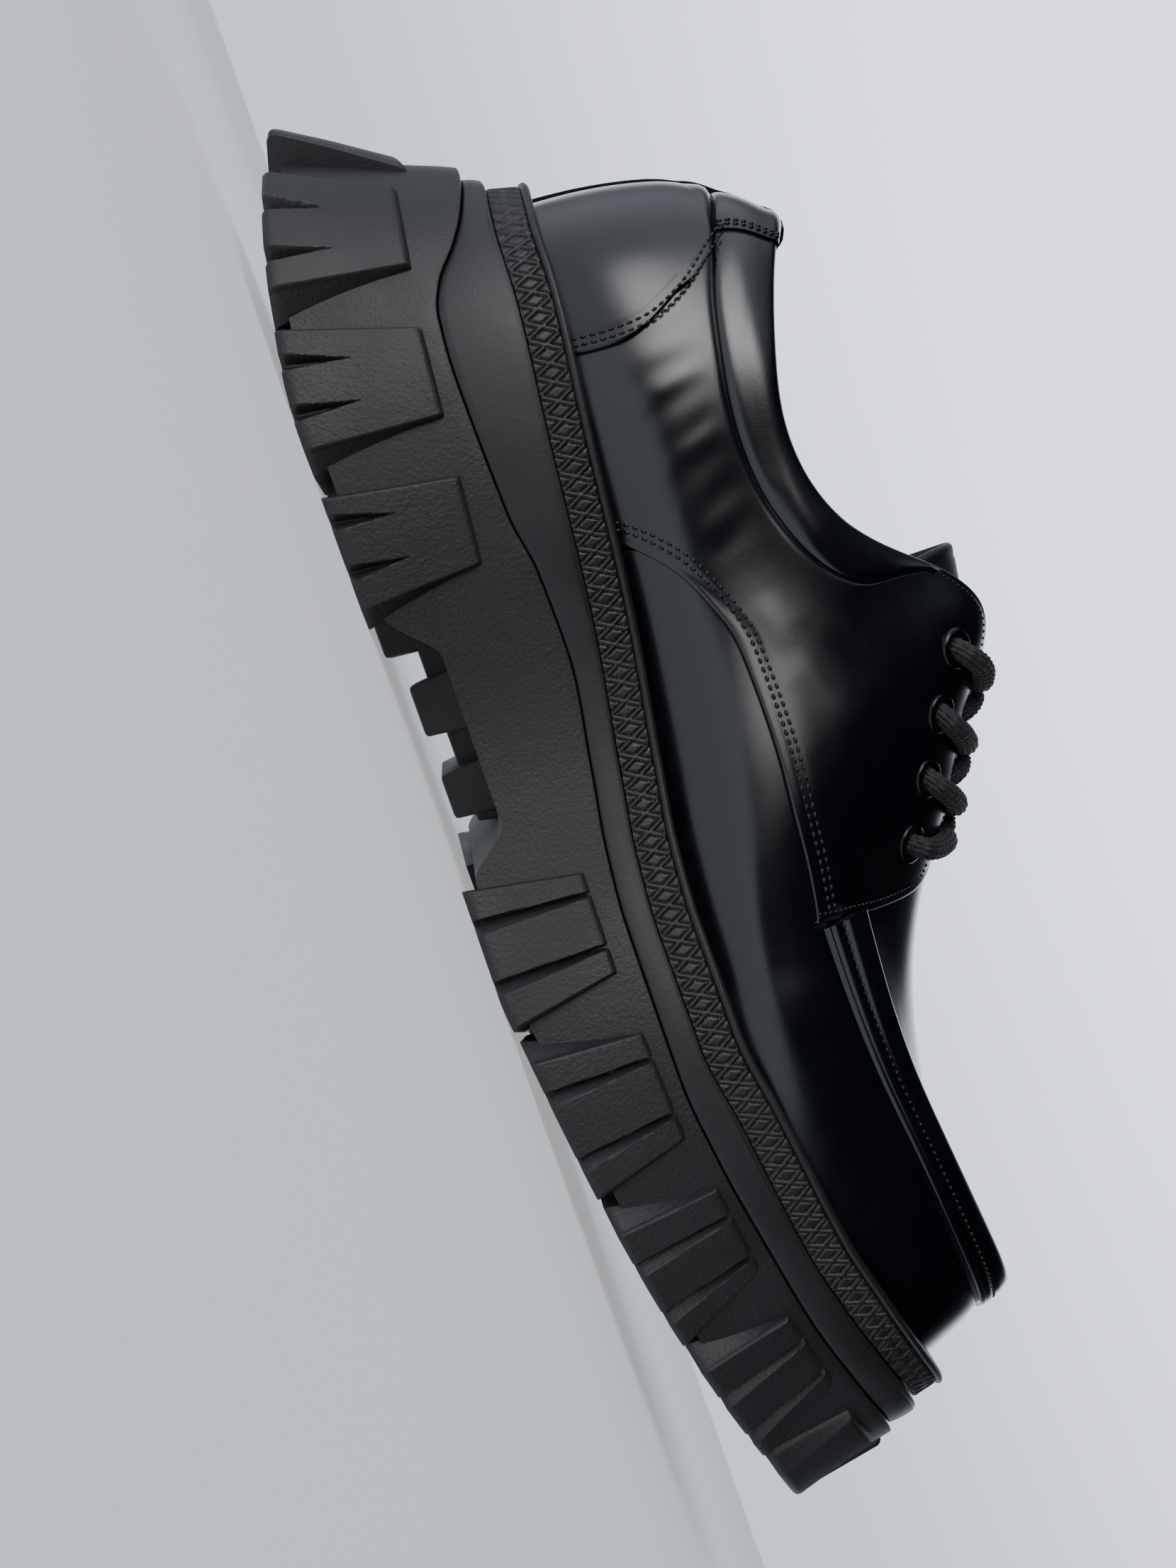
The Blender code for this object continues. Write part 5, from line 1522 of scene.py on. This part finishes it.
def ridge_path():
    """The ridge's foot, the way up to its top at full height, and the way outward, round the toe."""
    start = station(RIDGE_START)
    u = start + (1 - start) * np.linspace(0, 1, RIDGE_COLUMNS)
    places = np.linspace(WALL_PLACE, SHOULDER_PLACE, WALL_SAMPLES)
    parts = []
    for outer in (False, True):
        wall = on_skin(*np.meshgrid(u, places, indexing="ij"), outer)
        lip = bent_line(RIDGE_LIP, wall[:, -1, 0])
        place = np.array([np.interp(z, row, places) for z, row in zip(lip, wall[..., 2])])
        top = on_skin(u, SHOULDER_PLACE, outer)
        top[:, 2] = bent_line(RIDGE_TOP, top[:, 0])
        parts.append((on_skin(u, place, outer), top, normal_at(u, place, outer)))
    foot, top, out = (np.concatenate([a, b[::-1][1:]]) for a, b in zip(*parts))
    for way in (unit(np.gradient(foot, axis=0)), unit(top - foot)):
        out = out - way * np.sum(out * way, axis=1)[:, None]
    return foot, top - foot, unit(out)


def make_ridge():
    foot, rise, out = ridge_path()
    form = sweep(foot, rise[:, None], out, RIDGE_PROFILE)
    make_piece("apron_seam", form, SMOOTH_LEATHER, ["apron_ridge"], sharp=55.0)


# The tongue: its first and last section, its lowest place, how deep it lies and its thickness.
TONGUE_REAR = 124.5
TONGUE_FRONT = 204.0
TONGUE_SIDE = 3.2
TONGUE_DROP = 3.3
TONGUE_THICK = 2.0
# Its rounded rear edge: fine steps, how far it rounds and how deep, and the groove of a stitch.
TONGUE_STEPS = (0.0, 0.15, 0.4, 0.8, 1.3)
TONGUE_ROUND, TONGUE_ROUND_DROP = 1.3, 0.9
TONGUE_ROW, TONGUE_ROW_WIDTH, TONGUE_ROW_DIP = 3.4, 0.5, 0.2
TONGUE_COLUMNS, TONGUE_PLACES = 90, 40


def tongue_half(outer):
    at = np.linspace(TONGUE_REAR, TONGUE_FRONT, TONGUE_COLUMNS)[2:]
    at = np.concatenate([TONGUE_REAR + np.array(TONGUE_STEPS), at])
    place = np.linspace(CROWN_PLACE, TONGUE_SIDE, TONGUE_PLACES)
    u, place = np.meshgrid(station(at), place, indexing="ij")
    rear = section_at(u) - TONGUE_REAR
    drop = TONGUE_DROP + TONGUE_ROUND_DROP * fade(rear, TONGUE_ROUND, 0) ** 2
    drop += TONGUE_ROW_DIP * groove(rear - TONGUE_ROW, TONGUE_ROW_WIDTH)
    return on_skin(u, place, outer, -drop), normal_at(u, place, outer)


# The lining ends at a section; its top is lower up to the second one, and it lies inside the skin.
LINING_FRONT = 236.0
LINING_STEP_AT = 190.0
LINING_FOOT, LINING_TOP, LINING_TOP_AHEAD = 0.02, 3.86, 4.6
LINING_LIFT = -2.1
LINING_COLUMNS, LINING_PLACES = 130, 50
LINING_THICK = 0.7


def lining_half(outer):
    """The inside of the upper, from the heel to the forefoot."""
    along = np.linspace(0, station(LINING_FRONT), LINING_COLUMNS)
    u, place = np.meshgrid(along, np.linspace(LINING_FOOT, LINING_TOP, LINING_PLACES))
    ahead = section_at(u) > LINING_STEP_AT
    place = place / LINING_TOP * np.where(ahead, LINING_TOP_AHEAD, LINING_TOP)
    return on_skin(u, place, outer, LINING_LIFT), normal_at(u, place, outer)


# ---------------------------------------------------------------- stitches


# A stitch's rings and sides, and the distance over which the line's way is measured. How much the
# square of its radius shrinks toward its ends and the least that is left; how high its middle lies
# and how far its ends dip, as shares of the radius.
STITCH_RINGS, STITCH_SIDES = 5, 6
STITCH_AHEAD = 0.2
STITCH_SHRINK, STITCH_LEAST = 0.92, 0.05
STITCH_HIGH, STITCH_DIP = 0.5, 0.9


def add_stitches(form, points, normals, pitch, length, radius, sink=0.0):
    """Small closed grains along a line, each a stitch that dips at both ends."""
    run = run_along(points)
    faces = grid_faces(STITCH_RINGS, STITCH_SIDES, wrap_columns=True)
    last = (STITCH_RINGS - 1) * STITCH_SIDES
    faces += [tuple(range(STITCH_SIDES))[::-1], tuple(range(last, last + STITCH_SIDES))]

    def value_at(at, values):
        return np.array([np.interp(at, run, column) for column in values.T])

    for number in range(int(run[-1] / pitch)):
        at = (number + 0.5) * pitch
        here = value_at(at, points)
        along = unit(value_at(at + STITCH_AHEAD, points) - here)
        up = value_at(at, normals)
        up = unit(up - along * (up @ along))
        side = np.cross(along, up)
        body = []
        for step in np.linspace(-1, 1, STITCH_RINGS):
            swell = radius * math.sqrt(max(1 - STITCH_SHRINK * step * step, STITCH_LEAST))
            rise = radius * (STITCH_HIGH - STITCH_DIP * step * step) - sink
            centre = here + along * (step * length / 2) + up * rise
            body.append(circle(centre, side, up, swell, STITCH_SIDES))
        form.add(body, faces)


# A stitch just below a panel's face, and how deep the grains are sunk.
UNDER_FACE = 0.05
STITCH_SINK = 0.08
# Rows of stitches beside the side-view lines, on both sides of the shoe. A row keeps the stitches
# between two places and ahead of a section; -1, 6 and 0 keep them all.
SEAM_ROWS = (
    # line, to its right, lift, pitch, length, radius, low place, high place, section
    (QUARTER_STITCH, 0.0, QUARTER_LIFT - UNDER_FACE, 1.75, 1.35, 0.36, 0.04, 6, 0),
    (QUARTER_STITCH, -1.2, QUARTER_LIFT - UNDER_FACE, 1.75, 1.35, 0.36, 0.04, 6, 0),
    (COUNTER_STITCH, 0.0, COUNTER_LIFT - UNDER_FACE, 1.75, 1.35, 0.3, -1, 3.2, 0),
    (COUNTER_STITCH, -1.3, COUNTER_LIFT - UNDER_FACE, 1.75, 1.35, 0.3, -1, 3.2, 0),
    (COLLAR_SEAM, 1.1, QUARTER_LIFT - 0.35, 1.5, 1.1, 0.24, -1, 6, 62.0),
    (FACING_FRONT, -1.7, QUARTER_LIFT - UNDER_FACE, 1.3, 1.0, 0.26, -1, 6, 0),
)
# The counter's two rows over the collar, as shares of the upper's length behind its end.
COLLAR_STITCH_ROWS = (0.006, 0.0115)
# The stitches along the facing's upper edge: first and last section, place.
THROAT_STITCH = (130.0, 184.0)
THROAT_STITCH_PLACE = 3.91
ROW_SAMPLES = 240
# Stitches of the rows that no table holds: pitch, length, radius.
COLLAR_GRAIN = (1.6, 1.3, 0.32)
THROAT_GRAIN = (1.3, 1.0, 0.26)
RIDGE_GRAIN = (1.68, 1.0, 0.3)


def add_collar_rows(form, outer):
    """The counter's rows, which go on over the padded collar."""
    for back in COLLAR_STITCH_ROWS:
        u = np.array([counter_top_end(outer) - back])
        loop = counter_top(u, outer)[:, 0]
        loop = loop[1 : int(np.argmax(loop[:, 2])) + 2]
        ahead = on_skin(u + 0.01, UP_PLACE, outer) - on_skin(u, UP_PLACE, outer)
        out = np.cross(unit(np.gradient(loop, axis=0)), unit(ahead))
        out *= np.sign(out[0] @ normal_at(u, seam_place(u, outer), outer)[0])
        add_stitches(form, loop, unit(out), *COLLAR_GRAIN)


def make_stitching():
    form = Form()
    for outer in (False, True):
        for table, extra, lift, *grain, low, high, rear in SEAM_ROWS:
            u, place = traced(table, outer, ROW_SAMPLES, extra)
            keep = (place > low) & (place < high) & (section_at(u) > rear)
            u, place = u[keep], place[keep]
            points = on_skin(u, place, outer, lift)
            add_stitches(form, points, normal_at(u, place, outer), *grain, STITCH_SINK)
        add_collar_rows(form, outer)
        u = station(np.linspace(*THROAT_STITCH, ROW_SAMPLES))
        points = on_skin(u, THROAT_STITCH_PLACE, outer, QUARTER_LIFT - 2 * UNDER_FACE)
        normals = normal_at(u, THROAT_STITCH_PLACE, outer)
        add_stitches(form, points, normals, *THROAT_GRAIN, STITCH_SINK)
    foot, rise, out = ridge_path()
    line = foot + rise * RIDGE_STITCH[0] + out * RIDGE_STITCH[1]
    add_stitches(form, line, out, *RIDGE_GRAIN)
    make_piece("seam_stitching", form, THREAD, ["upper"], sharp=60.0)


# ---------------------------------------------------------------- eyelets and laces

EYELET_RING = (
    # radius, height over the facing
    (2.35, -0.8), (2.35, -0.1), (2.45, 0.3), (2.7, 0.55), (3.05, 0.62), (3.45, 0.5), (3.8, 0.3),
    (4.05, 0.05), (4.05, -0.3),
)
EYELET_AROUND = 40


def make_eyelets():
    for side, outer in (("inner", False), ("outer", True)):
        form = Form()
        nodes = []
        for number, (at, place) in enumerate(EYELETS, start=1):
            centre = on_skin(station(at), place, outer, QUARTER_LIFT)
            normal = normal_at(station(at), place, outer)
            along = unit(np.cross(normal, (0.0, 0.0, 1.0)))
            across = np.cross(normal, along)
            rows = []
            for radius, height in EYELET_RING:
                rows.append(circle(centre + normal * height, along, across, radius, EYELET_AROUND))
            form.add(rows, grid_faces(len(EYELET_RING), EYELET_AROUND, True, True))
            nodes.append(f"eyelet_{side}_{number}")
        make_piece(f"eyelet_rings_{side}", form, METAL, nodes, sharp=60.0)


# The braided cord: its radius, columns of stitches round it and their pitch, and its grid.
LACE_RADIUS = 2.2
BRAID_COLUMNS = 12
BRAID_PITCH = 1.45
BRAID_SLANT = 0.45
LACE_AROUND = 72
LACE_STEP = 0.26
# Shares of the radius: the core, the rise of a column, and the rise of one stitch of it.
LACE_CORE, COLUMN_RISE, STITCH_RISE = 0.86, 0.07, 0.12
# The length over which the cord narrows at its ends.
LACE_TAPER = 1.2


def cord_points(places):
    """Even points along a smooth line through the places."""
    length = run_along(places)[-1]
    return smooth_through(places, np.linspace(0, length, max(8, int(length / LACE_STEP))))


def add_cord(form, places):
    """A braided round cord: columns of small slanting stitches along a smooth line."""
    line = cord_points(np.array(places))
    along = unit(np.gradient(line, axis=0))
    side = np.cross(along[0], (0.0, 0.0, 1.0))
    column = np.arange(LACE_AROUND) * BRAID_COLUMNS / LACE_AROUND
    within = column % 1.0
    slope = np.where(np.floor(column) % 2 > 0, within, 1 - within)
    ridge = np.sin(math.pi * within) ** 0.6
    rows = []
    for number, (here, way) in enumerate(zip(line, along)):
        side = unit(side - way * (side @ way))
        up = np.cross(way, side)
        turned = number * LACE_STEP / BRAID_PITCH + BRAID_SLANT * slope
        bead = 0.5 + 0.5 * np.cos(2 * math.pi * turned)
        r = LACE_RADIUS * (LACE_CORE + COLUMN_RISE * ridge + STITCH_RISE * ridge * bead)
        left = (min(number, len(line) - 1 - number) + 0.02) * LACE_STEP
        r = r * min(1.0, math.sqrt(left / LACE_TAPER))
        rows.append(circle(here, side, up, r, LACE_AROUND))
    form.tube(rows, False)


# How far ahead of its eyelets a lace meets the middle: the front bar, and each crossing.
BAR_FORWARD = 6.6
CROSSING_FORWARD = (12.2, 13.2, 13.0)
# Where two laces cross, the outer side's passes below the inner side's.
CROSSING_LIFTS = (0.4, -1.2)


def lace_start(number, outer, forward):
    """A lace from inside its eyelet, up through it and over the facing's edge to the middle."""
    at, place = EYELETS[number]
    steps = (
        # share of the way forward, place, lift
        (-0.03, place - 0.02, -2.4),
        (0.0, place, 0.0),
        (0.14, place + 0.04, 2.1),
        (0.44, place + 0.2, 2.9),
        (0.76, 3.93, 2.3),
        (0.9, 4.4, 1.0),
        (1.0, 5.0, 0.4),
    )
    return [on_skin(station(at + forward * s), p, outer, lift) for s, p, lift in steps]


def lace_end(number, outer, forward):
    """The rest of a crossing lace: over the far facing's edge, under it and to the next eyelet."""
    at = EYELETS[number][0]
    next_at, next_place = EYELETS[number - 1]
    steps = (
        # distance forward, place, lift
        (forward + 1.3, 4.44, 1.1),
        (forward + 2.9, 4.14, 0.7),
        (forward + 3.7, 3.88, -2.0),
        (next_at + 0.5 - at, next_place + 0.2, -3.4),
    )
    return [on_skin(station(at + ahead), p, outer, lift) for ahead, p, lift in steps]


def make_laces():
    form = Form()
    near, far = (lace_start(0, outer, BAR_FORWARD) for outer in (False, True))
    add_cord(form, near + far[-2::-1])
    make_piece("lace_front_bar", form, CORD, ["lace_bar"], sharp=70.0)
    for number, forward in enumerate(CROSSING_FORWARD, start=1):
        form = Form()
        for outer in (False, True):
            route = lace_start(number, outer, forward)
            route[-1][2] += CROSSING_LIFTS[outer]
            add_cord(form, route + lace_end(number, not outer, forward))
        nodes = [f"lace_cross_{number}"]
        make_piece(f"lace_crossing_{number}", form, CORD, nodes, sharp=70.0)


# ---------------------------------------------------------------- stage, light and camera

FLOOR_COLOUR = (0.76, 0.79, 0.82)
FLOOR_GLOW_COLOUR = (0.92, 0.96, 1.0)
FLOOR_GLOW = 0.42
FLOOR_REACH = 6.0


def make_stage():
    mesh = bpy.data.meshes.new("floor")
    corners = [(FLOOR_REACH * x, FLOOR_REACH * y, 0) for x, y in ((-1, -1), (1, -1), (1, 1), (-1, 1))]
    mesh.from_pydata(corners, [], [(0, 1, 2, 3)])
    floor = bpy.data.objects.new("floor", mesh)
    bpy.context.scene.collection.objects.link(floor)
    look = Look("pale_floor", FLOOR_COLOUR, 1.0, 0.0)
    look.shade({"Emission Color": (*FLOOR_GLOW_COLOUR, 1), "Emission Strength": FLOOR_GLOW})
    mesh.materials.append(look.material)


# The surround's soft lights: the way to each, the cosines where it starts and is full, its strength.
SOFT_LIGHTS = (
    ((0.15, 1.0, 0.05), 0.58, 0.96, 2.4),
    ((-0.95, -0.20, 0.30), 0.40, 0.95, 0.9),
)
SURROUND_DARK = 0.004
SURROUND_COLOUR = (0.90, 0.97, 1.08)
# What the camera sees of the surround: its brightness at the horizon, and from a height upward.
HORIZON_BRIGHTNESS = 1.02
SKY_BRIGHTNESS = 2.2
SKY_FROM = 0.45


def make_light():
    """A pale surround, brighter behind the shoe and toward its heel; the camera sees it plain."""
    surround = bpy.data.worlds.new("pale_surround")
    bpy.context.scene.world = surround
    surround.use_nodes = True
    tree = surround.node_tree
    place = add_node(tree, "TexCoord", {}, "Generated")

    def lobe(way, start, full, strength):
        inputs = {0: place, 1: Vector(way).normalized()}
        dot = add_node(tree, "VectorMath", inputs, "Value", operation="DOT_PRODUCT")
        inputs = {"Value": dot, "From Min": start, "From Max": full, "To Max": strength}
        return add_node(tree, "MapRange", inputs, "Result", interpolation_type="SMOOTHSTEP")

    def add(first, second):
        return add_node(tree, "Math", {0: first, 1: second}, "Value")

    total = SURROUND_DARK
    for soft_light in SOFT_LIGHTS:
        total = add(lobe(*soft_light), total)
    sky = lobe((0.0, 0.0, 1.0), 0.0, SKY_FROM, SKY_BRIGHTNESS - HORIZON_BRIGHTNESS)
    camera_ray = add_node(tree, "LightPath", {}, "Is Camera Ray")
    seen = {0: camera_ray, 2: total, 3: add(sky, HORIZON_BRIGHTNESS)}
    strength = add_node(tree, "Mix", seen, 0, data_type="FLOAT")
    look = {"Color": (*SURROUND_COLOUR, 1), "Strength": strength}
    fill_inputs(tree, tree.nodes["Background"], look)


# The window in metres: where it stands, its size, the sizes of its layers and the step from one to
# the next, what it shines at and over what angle, in degrees.
WINDOW_AT = (-0.39, -0.46, 0.30)
WINDOW_SIZE = (0.80, 0.62)
WINDOW_LAYERS = (0.5, 0.75, 1.0, 1.25)
WINDOW_STEP = 0.01
WINDOW_AIM = (-0.10, -0.02, 0.05)
WINDOW_SPREAD = 56.0
WINDOW_STRENGTH = 1.7


def make_window():
    """One broad light beside the heel, on the camera's side, whose layers fade toward its rim."""
    for number, scale in enumerate(WINDOW_LAYERS):
        data = bpy.data.lights.new(f"window_{number}", "AREA")
        data.shape = "RECTANGLE"
        data.size, data.size_y = [side * scale for side in WINDOW_SIZE]
        data.energy = WINDOW_STRENGTH * data.size * data.size_y / len(WINDOW_LAYERS)
        data.spread = math.radians(WINDOW_SPREAD)
        window = bpy.data.objects.new(data.name, data)
        window.location = Vector(WINDOW_AT) * (1 + WINDOW_STEP * number)
        window.rotation_mode = "QUATERNION"
        window.rotation_quaternion = (Vector(WINDOW_AT) - Vector(WINDOW_AIM)).to_track_quat("Z", "Y")
        bpy.context.scene.collection.objects.link(window)


CAMERA_AT = (-0.0385, -0.3188, 0.0110)
CAMERA_FORWARD = (0.10434, 0.99277, 0.05931)
CAMERA_ROLL = 70.5
CAMERA_LENS = 35.8
CAMERA_SENSOR = 36.0
CAMERA_CLIP = (0.01, 20.0)


def make_camera():
    forward = Vector(CAMERA_FORWARD).normalized()
    right = forward.cross(Vector((0, 0, 1))).normalized()
    up = right.cross(forward)
    roll = math.radians(CAMERA_ROLL)
    x_axis = right * math.cos(roll) + up * math.sin(roll)
    y_axis = up * math.cos(roll) - right * math.sin(roll)
    data = bpy.data.cameras.new("camera")
    data.sensor_width = CAMERA_SENSOR
    data.sensor_fit = "AUTO"
    data.lens = CAMERA_LENS
    data.clip_start, data.clip_end = CAMERA_CLIP
    camera = bpy.data.objects.new("camera", data)
    turn = Matrix((x_axis, y_axis, -forward)).transposed()
    camera.matrix_world = Matrix.Translation(CAMERA_AT) @ turn.to_4x4()
    bpy.context.scene.collection.objects.link(camera)
    bpy.context.scene.camera = camera


# ---------------------------------------------------------------- all of it

make_tread()
make_midsole()
make_welt()
make_insole()
sheet_piece("lining_shell", lining_half, LINING, ["upper"], LINING_THICK)
sheet_piece("vamp_panel", vamp_half, SMOOTH_LEATHER, ["upper"], VAMP_THICK)
sheet_piece("quarter_panels", quarter_half, SMOOTH_LEATHER, ["upper"], PANEL_THICK)
sheet_piece("heel_counter_panel", counter_half, COUNTER_LEATHER, ["heel_counter"], COUNTER_THICK)
sheet_piece("tongue_panel", tongue_half, TONGUE_LEATHER, ["tongue"], TONGUE_THICK)
padded_piece("padded_collar", collar_half, COLLAR_LEATHER, ["upper"])
padded_piece("collar_back", counter_top_half, COUNTER_LEATHER, ["upper", "heel_counter"])
make_back_seam()
make_ridge()
make_stitching()
make_eyelets()
make_laces()
make_stage()
make_light()
make_window()
make_camera()
